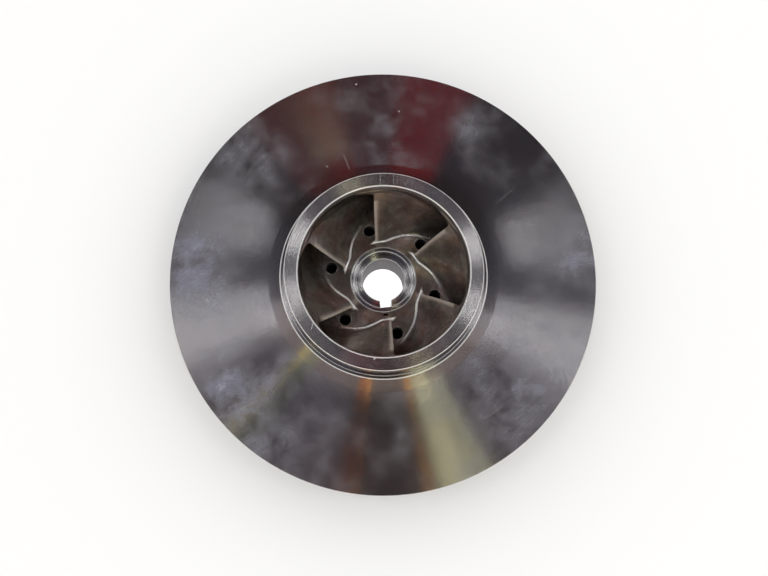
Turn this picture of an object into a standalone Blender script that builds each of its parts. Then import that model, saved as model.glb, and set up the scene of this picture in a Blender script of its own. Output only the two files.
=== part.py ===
"""Closed radial pump impeller, 219 mm across, cast in stainless steel and turned outside.

It lies with its suction eye up: the axis is +Z and the hub's rear face is at z = 0.
Clock angles run clockwise from +Y, as seen from the eye. Lengths are in metres.
The real impeller is one casting. It is divided here along its own features, the hub,
the two shrouds, the two wear rings and the six vanes, with a hairline gap between them.
"""
import math

import bpy
from mathutils import Vector

# Rim and outlet
RIM_RADIUS = 0.1095
BACK_FACE_Z = 0.018
BACK_SHROUD_RIM = 0.004
OUTLET_WIDTH = 0.012
FRONT_SHROUD_RIM = 0.004
FRONT_SLOPE = math.radians(5.5)
FLOOR_SLOPE = math.radians(1.8)

# Suction neck, which is the front wear ring
EYE_RADIUS = 0.04225
NECK_RADIUS = 0.049
NECK_FACE_Z = 0.064
NECK_CHAMFER = 0.0006
SHOULDER_RADIUS = 0.0527
SHOULDER_Z = 0.049
FILLET_START_RADIUS = 0.064
FILLET_TOP_ANGLE = math.radians(55)
EYE_BEND_RADIUS = 0.009

# Rear wear ring
REAR_RING_INNER = 0.0425
REAR_RING_Z = 0.004

# Hub, its keyed bore and the balance holes
HUB_HEIGHT = 0.035
HUB_RADIUS = 0.017
HUB_EDGE = 0.0008
BORE_RADIUS = 0.011
BORE_REAR_CHAMFER = 0.0008
NUT_SEAT_INNER = 0.0146
NUT_SEAT_STEP = 0.0008
BORE_CHAMFER_RADIUS = 0.0137
BORE_CHAMFER_DEPTH = 0.0008
KEYWAY_CLOCK = math.radians(174)
KEYWAY_WIDTH = 0.006
KEYWAY_FLOOR = 0.0143
TAB_NOTCH_REACH = 0.0163
TAB_NOTCH_DEPTH = 0.0015
FLANGE_RADIUS = 0.034
FLOOR_CREST_Z = 0.0338
FLOOR_ARC_RADIUS = 0.044
HOLE_RADIUS = 0.0031
HOLE_CIRCLE = 0.0280
HOLE_CLOCK = math.radians(-15.0)

# Vanes
VANE_COUNT = 6
VANE_CLOCK = math.radians(-6.8)
EDGE_HUB_RADIUS = 0.0206
EDGE_EYE_Z = 0.056
EDGE_LEAD = math.radians(3.6)
VANE_WRAP = math.radians(149.1)
HUB_INLET_ANGLE = math.radians(43)
EYE_INLET_ANGLE = math.radians(22)
OUTLET_ANGLE = math.radians(29)
EDGE_THICKNESS = 0.0010
NOSE_THICKNESS = 0.0024
BODY_THICKNESS = 0.0038
OUTLET_THICKNESS = 0.0032
NOSE_LENGTH = 0.0015
SWELL_LENGTH = 0.025

# Finish of the model
GAP = 0.0003
VANE_GAP = 0.0004
SEGMENTS = 80
BORE_SEGMENTS = 48
ARC_STEP = math.radians(11)
CUTTER_REACH = 0.004
SHARP_ANGLE = math.radians(30)

OUTLET_FLOOR_Z = BACK_FACE_Z + BACK_SHROUD_RIM
OUTLET_ROOF_Z = OUTLET_FLOOR_Z + OUTLET_WIDTH
RIM_FRONT_Z = OUTLET_ROOF_Z + FRONT_SHROUD_RIM


def arc(centre_r, centre_z, radius, start, end):
    """Points (r, z) on an arc, with its ends, a step of at most ARC_STEP apart."""
    steps = max(2, math.ceil(abs(end - start) / ARC_STEP))
    points = []
    for i in range(steps + 1):
        angle = start + (end - start) * i / steps
        points.append((centre_r + radius * math.cos(angle), centre_z + radius * math.sin(angle)))
    return points


def floor_points(inner_radius, outer_radius, lift=0.0):
    """The passage floor from the hub outwards: a hollow arc, then a shallow cone."""
    tangent_angle = -math.pi / 2 - FLOOR_SLOPE
    # The arc's centre is found from the crest at the hub and the cone that it runs into.
    run = math.tan(FLOOR_SLOPE)
    centre_r = HUB_RADIUS
    for _ in range(40):
        tangent_r = centre_r + FLOOR_ARC_RADIUS * math.cos(tangent_angle)
        tangent_z = OUTLET_FLOOR_Z + (RIM_RADIUS - tangent_r) * run
        centre_z = tangent_z - FLOOR_ARC_RADIUS * math.sin(tangent_angle)
        drop = centre_z - FLOOR_CREST_Z
        centre_r = HUB_RADIUS + math.sqrt(FLOOR_ARC_RADIUS ** 2 - drop ** 2)
    crest_angle = math.atan2(FLOOR_CREST_Z - centre_z, HUB_RADIUS - centre_r) - 2 * math.pi
    curve = arc(centre_r, centre_z, FLOOR_ARC_RADIUS - lift, crest_angle % (2 * math.pi) - 2 * math.pi,
                tangent_angle)
    curve.append((RIM_RADIUS, OUTLET_FLOOR_Z + lift))
    return clip(curve, inner_radius, outer_radius)


def clip(curve, inner_radius, outer_radius):
    """The part of an outward curve between two radii, with exact ends."""
    def height(radius):
        for (r0, z0), (r1, z1) in zip(curve, curve[1:]):
            if r0 <= radius <= r1:
                return z0 + (z1 - z0) * (radius - r0) / (r1 - r0)
        return curve[0][1] if radius < curve[0][0] else curve[-1][1]

    middle = [p for p in curve if inner_radius + 1e-4 < p[0] < outer_radius - 1e-4]
    return [(inner_radius, height(inner_radius)), *middle, (outer_radius, height(outer_radius))]


def roof_points(top_z, lift=0.0):
    """The eye wall from top_z down, the bend, and the passage roof out to the rim."""
    # lift is how far the curve stands off the metal, into the passage.
    bend = EYE_BEND_RADIUS + lift
    wall = EYE_RADIUS - lift
    bend_end_r = wall + bend * (1 - math.sin(FRONT_SLOPE))
    bend_end_z = OUTLET_ROOF_Z - lift + (RIM_RADIUS - bend_end_r) * math.tan(FRONT_SLOPE)
    centre_z = bend_end_z + bend * math.cos(FRONT_SLOPE)
    curve = [(wall, top_z)]
    curve += arc(wall + bend, centre_z, bend, math.pi, 1.5 * math.pi - FRONT_SLOPE)
    curve.append((RIM_RADIUS, OUTLET_ROOF_Z - lift))
    return curve


def spaced(curve, fractions):
    """Points at the given fractions of a curve's length, with the distance run."""
    runs = [0.0]
    for (r0, z0), (r1, z1) in zip(curve, curve[1:]):
        runs.append(runs[-1] + math.hypot(r1 - r0, z1 - z0))
    points = []
    for fraction in fractions:
        target = fraction * runs[-1]
        k = 1
        while k < len(runs) - 1 and runs[k] < target:
            k += 1
        part = (target - runs[k - 1]) / (runs[k] - runs[k - 1])
        (r0, z0), (r1, z1) = curve[k - 1], curve[k]
        points.append((r0 + (r1 - r0) * part, z0 + (z1 - z0) * part, target))
    return points


def clock_point(radius, clock, z):
    return Vector((radius * math.sin(clock), radius * math.cos(clock), z))


def make_object(name, mesh, colour, roughness):
    item = bpy.data.objects.new(name, mesh)
    bpy.context.collection.objects.link(item)
    material = bpy.data.materials.new(name + "_steel")
    material.use_nodes = True
    shader = material.node_tree.nodes["Principled BSDF"]
    shader.inputs["Base Color"].default_value = (*colour, 1.0)
    shader.inputs["Metallic"].default_value = 1.0
    shader.inputs["Roughness"].default_value = roughness
    mesh.materials.append(material)
    return item


def turned(name, profile, colour, roughness, segments=SEGMENTS):
    """A body of revolution: a closed outline, down its outer side, spun by a Screw modifier."""
    mesh = bpy.data.meshes.new(name)
    count = len(profile)
    mesh.from_pydata([(r, 0.0, z) for r, z in profile], [(i, (i + 1) % count) for i in range(count)], [])
    item = make_object(name, mesh, colour, roughness)
    spin = item.modifiers.new("Turning", "SCREW")
    spin.axis = "Z"
    spin.steps = segments
    spin.render_steps = segments
    spin.use_merge_vertices = True
    spin.merge_threshold = 0.00001
    return item


def cut(item, cutter):
    """Takes the cutter's shape out of the item, and hides the cutter."""
    cutter.hide_render = True
    cutter.display_type = "WIRE"
    boolean = item.modifiers.new("Cut " + cutter.name, "BOOLEAN")
    boolean.operation = "DIFFERENCE"
    boolean.solver = "EXACT"
    boolean.object = cutter


def cutter_object(name, points, faces):
    mesh = bpy.data.meshes.new(name)
    mesh.from_pydata(points, [], faces)
    item = bpy.data.objects.new(name, mesh)
    bpy.context.collection.objects.link(item)
    return item


def slot_cutter(name, outline, width):
    """A closed outline of (y, z) points, counter-clockwise as seen from +X, drawn out across X."""
    count = len(outline)
    points = [(x, y, z) for x in (-width / 2, width / 2) for y, z in outline]
    faces = [list(range(count))[::-1], list(range(count, 2 * count))]
    for i in range(count):
        j = (i + 1) % count
        faces.append((i, j, count + j, count + i))
    return cutter_object(name, points, faces)


def drill_cutter(name, centres, radius, low_z, high_z, sides):
    """Upright drills, one at each centre, as one cutter."""
    points = []
    faces = []
    for centre in centres:
        base = len(points)
        for z in (low_z, high_z):
            for i in range(sides):
                angle = 2 * math.pi * i / sides
                points.append((centre.x + radius * math.cos(angle), centre.y + radius * math.sin(angle), z))
        faces.append([base + sides - 1 - i for i in range(sides)])
        faces.append([base + sides + i for i in range(sides)])
        for i in range(sides):
            j = (i + 1) % sides
            faces.append((base + i, base + j, base + sides + j, base + sides + i))
    return cutter_object(name, points, faces)


def suction_neck():
    """The turned ring round the eye, which runs in the casing's wear ring."""
    foot_z = SHOULDER_Z + GAP
    profile = [
        (NECK_RADIUS - NECK_CHAMFER, NECK_FACE_Z),
        (NECK_RADIUS, NECK_FACE_Z - NECK_CHAMFER),
        (NECK_RADIUS, foot_z),
        (EYE_RADIUS, foot_z),
        (EYE_RADIUS, NECK_FACE_Z - NECK_CHAMFER),
        (EYE_RADIUS + NECK_CHAMFER, NECK_FACE_Z),
    ]
    return turned("suction_neck", profile, (0.55, 0.54, 0.53), 0.30)


def front_shroud():
    """The wide turned cone in front of the vanes, with its fillet up to the neck's shoulder."""
    slope = math.tan(FRONT_SLOPE)
    fillet_start_z = RIM_FRONT_Z + (RIM_RADIUS - FILLET_START_RADIUS) * slope
    fillet_radius = (FILLET_START_RADIUS - SHOULDER_RADIUS) / (math.sin(FILLET_TOP_ANGLE) - math.sin(FRONT_SLOPE))
    centre_r = FILLET_START_RADIUS + fillet_radius * math.sin(FRONT_SLOPE)
    centre_z = fillet_start_z + fillet_radius * math.cos(FRONT_SLOPE)
    top_angle = -math.pi / 2 - FILLET_TOP_ANGLE
    fillet = arc(centre_r, centre_z, fillet_radius, top_angle, -math.pi / 2 - FRONT_SLOPE)
    edge = (SHOULDER_RADIUS, SHOULDER_Z)
    outer = [edge, *fillet, (RIM_RADIUS, RIM_FRONT_Z), (RIM_RADIUS, OUTLET_ROOF_Z)]
    inner = list(reversed(roof_points(SHOULDER_Z)[:-1]))
    return turned("front_shroud", outer + inner, (0.45, 0.44, 0.45), 0.32)


def back_shroud():
    """The disc behind the vanes, from the hub's flange to the rim."""
    floor = floor_points(FLANGE_RADIUS + GAP, RIM_RADIUS)
    profile = [*floor, (RIM_RADIUS, BACK_FACE_Z), (FLANGE_RADIUS + GAP, BACK_FACE_Z)]
    return turned("back_shroud", profile, (0.45, 0.44, 0.45), 0.34)


def rear_ring():
    """The wear ring behind the back shroud, of the neck's outer size."""
    top_z = BACK_FACE_Z - GAP
    profile = [
        (NECK_RADIUS, top_z),
        (NECK_RADIUS, REAR_RING_Z + NECK_CHAMFER),
        (NECK_RADIUS - NECK_CHAMFER, REAR_RING_Z),
        (REAR_RING_INNER + NECK_CHAMFER, REAR_RING_Z),
        (REAR_RING_INNER, REAR_RING_Z + NECK_CHAMFER),
        (REAR_RING_INNER, top_z),
    ]
    return turned("rear_wear_ring", profile, (0.55, 0.54, 0.53), 0.30)


def hub():
    """The keyed hub with its nut seat, and the flared flange that the balance holes go through."""
    floor = floor_points(HUB_RADIUS, FLANGE_RADIUS)
    nose = [
        (NUT_SEAT_INNER, HUB_HEIGHT),
        (HUB_RADIUS - HUB_EDGE, HUB_HEIGHT),
        (HUB_RADIUS, HUB_HEIGHT - HUB_EDGE),
    ]
    rear = [
        (FLANGE_RADIUS, BACK_FACE_Z),
        (HUB_RADIUS, BACK_FACE_Z),
        (HUB_RADIUS, HUB_EDGE),
        (HUB_RADIUS - HUB_EDGE, 0.0),
        (BORE_RADIUS + BORE_REAR_CHAMFER, 0.0),
        (BORE_RADIUS, BORE_REAR_CHAMFER),
    ]
    step_z = HUB_HEIGHT - NUT_SEAT_STEP
    bore = [
        (BORE_RADIUS, step_z - BORE_CHAMFER_DEPTH),
        (BORE_CHAMFER_RADIUS, step_z),
        (NUT_SEAT_INNER, step_z),
    ]
    item = turned("hub", nose + floor + rear + bore, (0.50, 0.48, 0.46), 0.28, BORE_SEGMENTS)

    # The keyway, with the notch on top, is drawn towards +Y and turned to its clock angle.
    top_z = HUB_HEIGHT + CUTTER_REACH
    notch_z = HUB_HEIGHT - TAB_NOTCH_DEPTH
    slot = [
        (0.0, -CUTTER_REACH),
        (KEYWAY_FLOOR, -CUTTER_REACH),
        (KEYWAY_FLOOR, notch_z),
        (TAB_NOTCH_REACH, notch_z),
        (TAB_NOTCH_REACH, top_z),
        (0.0, top_z),
    ]
    keyway = slot_cutter("keyway_cutter", slot, KEYWAY_WIDTH)
    keyway.rotation_euler.z = -KEYWAY_CLOCK
    cut(item, keyway)
    centres = []
    for k in range(VANE_COUNT):
        centres.append(clock_point(HOLE_CIRCLE, HOLE_CLOCK + 2 * math.pi * k / VANE_COUNT, 0.0))
    drills = drill_cutter("balance_hole_cutter", centres, HOLE_RADIUS, BACK_FACE_Z - CUTTER_REACH,
                          HUB_HEIGHT + CUTTER_REACH, 16)
    cut(item, drills)
    return item


def blade_angle(fraction, inlet_angle):
    """The vane's angle from the tangent, easing from the inlet's to the outlet's."""
    ease = fraction * fraction * (3 - 2 * fraction)
    return inlet_angle + (OUTLET_ANGLE - inlet_angle) * ease


def wrap_angles(points, inlet_angle, fractions, lead):
    """Clock angle of each point of a streamline, from its lead at the inlet to the vane's whole wrap."""
    angles = [0.0]
    for k in range(1, len(points)):
        r0, _, m0 = points[k - 1]
        r1, _, m1 = points[k]
        middle = (fractions[k - 1] + fractions[k]) / 2
        angles.append(angles[-1] + (m1 - m0) / ((r0 + r1) / 2 * math.tan(blade_angle(middle, inlet_angle))))
    return [lead + (VANE_WRAP - lead) * a / angles[-1] for a in angles]


def vane_thickness(run):
    """Thickness at a distance along the vane from its leading edge, up to the outlet's taper."""
    if run < NOSE_LENGTH:
        return EDGE_THICKNESS + (NOSE_THICKNESS - EDGE_THICKNESS) * math.sqrt(run / NOSE_LENGTH)
    swell = min(1.0, (run - NOSE_LENGTH) / SWELL_LENGTH)
    return NOSE_THICKNESS + (BODY_THICKNESS - NOSE_THICKNESS) * swell * (2 - swell)


def vane_mesh(stations=26, spans=5):
    """One backward-swept vane, twisted from its nearly radial leading edge to its upright outlet edge."""
    # Stations crowd towards the leading edge, where the nose is.
    fractions = [(i / stations) ** 1.6 for i in range(stations + 1)]
    hub_line = spaced(floor_points(EDGE_HUB_RADIUS, RIM_RADIUS, VANE_GAP), fractions)
    eye_line = spaced(roof_points(EDGE_EYE_Z, VANE_GAP), fractions)
    hub_wrap = wrap_angles(hub_line, HUB_INLET_ANGLE, fractions, 0.0)
    eye_wrap = wrap_angles(eye_line, EYE_INLET_ANGLE, fractions, EDGE_LEAD)

    rows = []
    for i in range(stations + 1):
        row = []
        for j in range(spans + 1):
            v = j / spans
            radius = hub_line[i][0] * (1 - v) + eye_line[i][0] * v
            z = hub_line[i][1] * (1 - v) + eye_line[i][1] * v
            clock = VANE_CLOCK + hub_wrap[i] * (1 - v) + eye_wrap[i] * v
            row.append((radius, clock, z))
        rows.append(row)

    def middle(i, j):
        radius, clock, z = rows[i][j]
        return clock_point(radius, clock, z)

    def side_offset(i, j, run):
        """Half the thickness, as the clock angle that it takes up at this point."""
        along = middle(min(i + 1, stations), j) - middle(max(i - 1, 0), j)
        across = middle(i, min(j + 1, spans)) - middle(i, max(j - 1, 0))
        normal = along.cross(across).normalized()
        radius, clock, _ = rows[i][j]
        tangent = Vector((math.cos(clock), -math.sin(clock), 0.0))
        taper = 1 - (1 - OUTLET_THICKNESS / BODY_THICKNESS) * fractions[i] ** 2
        return vane_thickness(run) * taper / 2 / abs(normal.dot(tangent)) / radius

    points = []
    for j in range(spans + 1):
        run = 0.0
        for i in range(stations + 1):
            if i:
                run += (middle(i, j) - middle(i - 1, j)).length
            radius, clock, z = rows[i][j]
            offset = side_offset(i, j, run)
            points.append(clock_point(radius, clock - offset, z))
            points.append(clock_point(radius, clock + offset, z))

    def index(i, j, side):
        return (j * (stations + 1) + i) * 2 + side

    faces = []
    for j in range(spans):
        for i in range(stations):
            for side in (0, 1):
                ring = [index(i, j, side), index(i + 1, j, side), index(i + 1, j + 1, side), index(i, j + 1, side)]
                faces.append(ring if side else ring[::-1])
        faces.append([index(0, j, 0), index(0, j, 1), index(0, j + 1, 1), index(0, j + 1, 0)])
        faces.append([index(stations, j, 1), index(stations, j, 0), index(stations, j + 1, 0),
                      index(stations, j + 1, 1)])
    for i in range(stations):
        faces.append([index(i, 0, 0), index(i + 1, 0, 0), index(i + 1, 0, 1), index(i, 0, 1)])
        faces.append([index(i, spans, 1), index(i + 1, spans, 1), index(i + 1, spans, 0), index(i, spans, 0)])
    mesh = bpy.data.meshes.new("vane")
    mesh.from_pydata(points, [], faces)
    return mesh


def vanes():
    mesh = vane_mesh()
    first = make_object("vane_1", mesh, (0.30, 0.27, 0.24), 0.45)
    items = [first]
    for k in range(1, VANE_COUNT):
        item = bpy.data.objects.new("vane_%d" % (k + 1), mesh)
        item.rotation_euler.z = -2 * math.pi * k / VANE_COUNT
        bpy.context.collection.objects.link(item)
        items.append(item)
    return items


def build():
    for item in list(bpy.data.objects):
        bpy.data.objects.remove(item, do_unlink=True)
    pieces = [suction_neck(), front_shroud(), back_shroud(), rear_ring(), hub(), *vanes()]
    for item in pieces:
        item.data.shade_smooth()
        item.data.set_sharp_from_angle(angle=SHARP_ANGLE)


build()
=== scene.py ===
# %% [markdown]
# # A closed pump impeller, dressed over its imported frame
# The real object is one stainless steel casting, turned bright outside and left as cast inside.
# The frame is the same impeller as plain facetted solids. Nothing here moves or resizes it: each
# step makes a finer surface that takes the place of one or more of those solids.

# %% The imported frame
import math

import bmesh
import bpy
import numpy as np
from mathutils import Matrix, Vector


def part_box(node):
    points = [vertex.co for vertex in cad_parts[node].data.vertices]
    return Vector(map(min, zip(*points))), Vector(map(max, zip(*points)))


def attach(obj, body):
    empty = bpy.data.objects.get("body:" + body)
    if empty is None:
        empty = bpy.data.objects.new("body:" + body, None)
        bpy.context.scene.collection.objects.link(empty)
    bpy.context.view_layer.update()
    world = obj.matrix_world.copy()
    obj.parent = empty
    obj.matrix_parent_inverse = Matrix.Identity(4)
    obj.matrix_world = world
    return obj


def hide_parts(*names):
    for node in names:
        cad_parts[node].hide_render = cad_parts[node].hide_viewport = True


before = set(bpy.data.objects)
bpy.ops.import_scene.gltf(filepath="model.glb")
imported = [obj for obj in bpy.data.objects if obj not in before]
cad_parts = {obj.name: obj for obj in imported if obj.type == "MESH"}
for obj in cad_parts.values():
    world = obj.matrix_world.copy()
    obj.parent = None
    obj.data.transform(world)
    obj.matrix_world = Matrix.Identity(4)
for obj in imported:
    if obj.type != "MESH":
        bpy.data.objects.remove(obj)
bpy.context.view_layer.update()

# %% [markdown]
# ## Sizes
# A frame is only useful if the new surfaces agree with it, so every size that a solid's box can
# give is read from that box. The sizes that a box can't give, such as the eye's radius, are the
# impeller's own, in metres. Clock angles run clockwise from +Y, as seen from the eye.

# %% Sizes read from the frame, and the impeller's own
MM = 0.001

_, neck_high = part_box("suction_neck")
front_low, front_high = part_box("front_shroud")
back_low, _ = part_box("back_shroud")
ring_low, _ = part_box("rear_wear_ring")
hub_low, hub_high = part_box("hub")

RIM_R = front_high[0]
ROOF_RIM_Z = front_low[2]
SHOULDER_Z = front_high[2]
NECK_R = neck_high[0]
NECK_FACE_Z = neck_high[2]
BACK_Z = back_low[2]
RING_Z = ring_low[2]
HUB_Z = hub_high[2]
FLANGE_R = hub_high[0]

SHROUD_RIM = 4 * MM
FLOOR_RIM_Z = BACK_Z + SHROUD_RIM
FRONT_RIM_Z = ROOF_RIM_Z + SHROUD_RIM
FRONT_SLOPE = math.radians(5.5)
FLOOR_SLOPE = math.radians(1.8)
EYE_R = 42.25 * MM
EYE_BEND_R = 9 * MM
RING_INNER_R = 42.5 * MM
HUB_R = 17 * MM
BORE_R = 11 * MM
HOLE_R = 3.1 * MM
HOLE_CIRCLE = 28.0 * MM
HOLE_CLOCK = math.radians(-15.0)
VANE_COUNT = 6
VANE_CLOCK = math.radians(-6.8)
print("rim %.1f mm, neck %.1f mm, height %.1f mm" % (2000 * RIM_R, 2000 * NECK_R, 1000 * NECK_FACE_Z))
print("outlet %.1f mm wide" % (1000 * (ROOF_RIM_Z - FLOOR_RIM_Z)))

# %% [markdown]
# ## Camera
# The photograph was taken from above, about eight degrees off the impeller's axis, with a normal
# lens half a metre away. Those numbers came from fitting the rim, neck, hub and bore circles, which
# shift and shrink with their height in a way that only one camera position explains. The camera is
# built from its three axes, so no tracking constraint is needed.

# %% Camera at the photograph's viewing angle
SENSOR = 36.0
FOCAL_LENGTH = 46.9
RIM_DISTANCE = 0.514
TILT = math.radians(8.21)
YAW = math.radians(0.71)
AIM_RIGHT = -0.3 * MM
AIM_UP = 4.8 * MM
NEAREST_SEEN = 0.01


def linked(name, data):
    """A new object with this data, linked into the scene."""
    item = bpy.data.objects.new(name, data)
    bpy.context.collection.objects.link(item)
    return item


right = Vector((math.cos(YAW), -math.sin(TILT) * math.sin(YAW), math.cos(TILT) * math.sin(YAW)))
up = Vector((0.0, math.cos(TILT), math.sin(TILT)))
back = right.cross(up)
camera = linked("photo_camera", bpy.data.cameras.new("photo_camera"))
camera.data.sensor_width = SENSOR
camera.data.lens = FOCAL_LENGTH
camera.data.clip_start = NEAREST_SEEN
eye_point = Vector((0, 0, FRONT_RIM_Z)) - right * AIM_RIGHT - up * AIM_UP + back * RIM_DISTANCE
camera.matrix_world = Matrix.Translation(eye_point) @ Matrix((right, up, back)).transposed().to_4x4()
bpy.context.scene.camera = camera
print("camera %.0f mm above the floor" % (1000 * eye_point.z))

# %% [markdown]
# ## Outlines
# Half a section through the impeller is an outline of straight lines, arcs and small rounds where
# an edge was broken. Curve objects could draw it, but a list of points is easier to compute with:
# the fillets below are found by arithmetic, and the vanes read the same curves.

# %% Arcs and rounded corners
ARC_STEP = math.radians(3)


def arc(centre_r, centre_z, radius, start, end):
    """Points (r, z) on an arc with its ends, at most ARC_STEP apart."""
    steps = max(3, math.ceil(abs(end - start) / ARC_STEP))
    angles = np.linspace(start, end, steps + 1)
    return [(centre_r + radius * math.cos(a), centre_z + radius * math.sin(a)) for a in angles]


def rounded(outline, radii, steps=4):
    """The outline with each corner named in radii (index: radius) replaced by a small arc."""
    points = []
    for i, corner in enumerate(outline):
        if i not in radii:
            points.append(corner)
            continue
        corner = Vector(corner)
        before = (Vector(outline[i - 1]) - corner).normalized()
        after = (Vector(outline[(i + 1) % len(outline)]) - corner).normalized()
        half = before.angle(after) / 2
        reach = radii[i] / math.tan(half)
        centre = corner + (before + after).normalized() * (radii[i] / math.sin(half))
        first = corner + before * reach - centre
        last = corner + after * reach - centre
        for k in range(steps + 1):
            spoke = first.lerp(last, k / steps)
            points.append(tuple(centre + spoke.normalized() * radii[i]))
    return points


print("a quarter of a turn takes %d points" % len(arc(0, 0, 1, 0, math.pi / 2)))

# %% [markdown]
# ## Turned bodies
# A lathe makes a body of revolution, so the script does the same: it turns a closed outline about
# the Z axis. Blender's Screw modifier or bmesh's spin would do it too. Plain arithmetic is used
# because each stretch of the outline can then carry its own finish, turned or as cast, and the
# seam closes by itself.

# %% Turning an outline
TURN_STEPS = 256
SHARP_ANGLE = math.radians(28)  # edges steeper than this stay crisp
SAME_PLACE = 1e-7


def finished(name, mesh):
    """Links a mesh as an object at the origin, faces out, smooth except at real edges."""
    work = bmesh.new()
    work.from_mesh(mesh)
    bmesh.ops.recalc_face_normals(work, faces=work.faces)
    work.to_mesh(mesh)
    work.free()
    mesh.shade_smooth()
    mesh.set_sharp_from_angle(angle=SHARP_ANGLE)
    print("%s: %d faces" % (name, len(mesh.polygons)))
    return linked(name, mesh)


def turn(name, stretches, steps=TURN_STEPS):
    """Turns a closed outline, given as (finish, points) stretches, into a smooth mesh object."""
    finishes = list(dict.fromkeys(finish for finish, _ in stretches))
    outline = [(finishes.index(finish), *point) for finish, points in stretches for point in points]
    outline = [p for p, after in zip(outline, outline[1:] + outline[:1])
               if math.dist(p[1:], after[1:]) > SAME_PLACE]
    finish_of, radius, height = zip(*outline)
    count = len(outline)
    angle = np.linspace(0, 2 * math.pi, steps, endpoint=False)
    points = np.empty((steps, count, 3))
    points[..., 0] = np.sin(angle)[:, None] * radius
    points[..., 1] = np.cos(angle)[:, None] * radius
    points[..., 2] = height
    faces = []
    for a in range(steps):
        b = (a + 1) % steps
        for i in range(count):
            j = (i + 1) % count
            faces.append((a * count + i, b * count + i, b * count + j, a * count + j))
    mesh = bpy.data.meshes.new(name)
    mesh.from_pydata(points.reshape(-1, 3).tolist(), [], faces)
    for finish in finishes:
        mesh.materials.append(finish)
    mesh.polygons.foreach_set("material_index", finish_of * steps)
    return finished(name, mesh)


print("a turned body has %d steps round its axis" % TURN_STEPS)

# %% [markdown]
# ## Helpers for materials
# Colours are written as the hex codes that a paint program shows, which are sRGB, while shaders
# want linear light. One function turns one into the other. A second adds a node, sets it and links
# it in a single call, so that each finish below reads as a short recipe.

# %% Colours and nodes
MATHS = "ShaderNodeMath"
VECTORS = "ShaderNodeVectorMath"
RANGE = "ShaderNodeMapRange"
NOISE = "ShaderNodeTexNoise"


def srgb(code):
    """A hex colour as the linear RGBA that a shader takes."""
    channels = [int(code[i:i + 2], 16) / 255 for i in (1, 3, 5)]
    return (*[c / 12.92 if c <= 0.04045 else ((c + 0.055) / 1.055) ** 2.4 for c in channels], 1.0)


def feed(tree, item, inputs):
    """Links each input to the socket, or to the node's first output, or else sets the value."""
    for name, value in inputs.items():
        if isinstance(value, bpy.types.Node):
            value = value.outputs[0]
        if isinstance(value, bpy.types.NodeSocket):
            tree.links.new(value, item.inputs[name])
        else:
            item.inputs[name].default_value = value


def add(tree, kind, settings=None, inputs=None):
    """Adds a node; its settings may be just an operation, or hold the stops of a colour ramp."""
    item = tree.nodes.new(kind)
    settings = {"operation": settings} if isinstance(settings, str) else dict(settings or {})
    stops = settings.pop("stops", [])
    if stops:
        band = item.color_ramp.elements
        for element, stop in zip((band[0], band[1]), (stops[0], stops[-1])):
            element.position, element.color = stop
        for position, colour in stops[1:-1]:
            band.new(position).color = colour
    for name, value in settings.items():
        setattr(item, name, value)
    feed(tree, item, inputs or {})
    return item


print("middle grey, #808080, is %.3f in linear light" % srgb("#808080")[0])

# %% [markdown]
# ## Layers of colour, and a new material
# Most finishes here are one colour laid over another: film over steel, or painted shade over a casting. A
# loop chains one mixing node for each layer. Every finish starts from the same shader, because
# Blender's Principled BSDF serves metal, paper and the black ring of painted shade alike.

# %% Layers and materials
def laid_over(tree, colour, layers):
    """The colour under layers of (share, colour), one after the other."""
    for share, top in layers:
        mix = add(tree, "ShaderNodeMix", {"data_type": "RGBA"}, {"Factor": share, 6: colour, 7: top})
        colour = mix.outputs[2]
    return colour


def new_material(name, inputs=None):
    """A material, its tree and its shader, with the shader's inputs set."""
    material = bpy.data.materials.new(name)
    material.use_nodes = True
    shader = material.node_tree.nodes["Principled BSDF"]
    feed(material.node_tree, shader, inputs or {})
    return material, material.node_tree, shader


print("helpers for layers and materials are ready")

# %% [markdown]
# ## The lathe's grooves
# A lathe tool with a rounded nose leaves a spiral of scallops finer than a hair. Across a scallop
# the surface tips evenly from one side to the other, so it mirrors a whole fan of the room, while
# along the groove it mirrors like glass: a lamp shows as a wedge with crisp sides, from hub to rim.
# Modelling the scallops would need millions of faces. Here the shading normal is tipped instead, by
# a saw-tooth of the distance across the grooves.

# %% The lathe's grooves, as a shading normal
FEED_MM = 0.16  # the tool's advance in one turn
CHATTER_MM = 0.8  # spacing of the faint rings where the tool cut a little deeper
HEIGHT_SHARE = -0.6  # steep faces have grooves too, so the height counts along with the radius


def in_plan(tree, place):
    """The place with its height set to nought."""
    return add(tree, VECTORS, "MULTIPLY", {0: place, 1: (1, 1, 0)})


def radius_at(tree, place):
    """The distance from the axis."""
    return add(tree, VECTORS, "LENGTH", {0: in_plan(tree, place)}).outputs["Value"]


def across_grooves(tree, place):
    """The distance across the grooves."""
    height = add(tree, "ShaderNodeSeparateXYZ", None, {0: place}).outputs["Z"]
    return add(tree, MATHS, "MULTIPLY_ADD", {0: height, 1: HEIGHT_SHARE, 2: radius_at(tree, place)})


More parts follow.
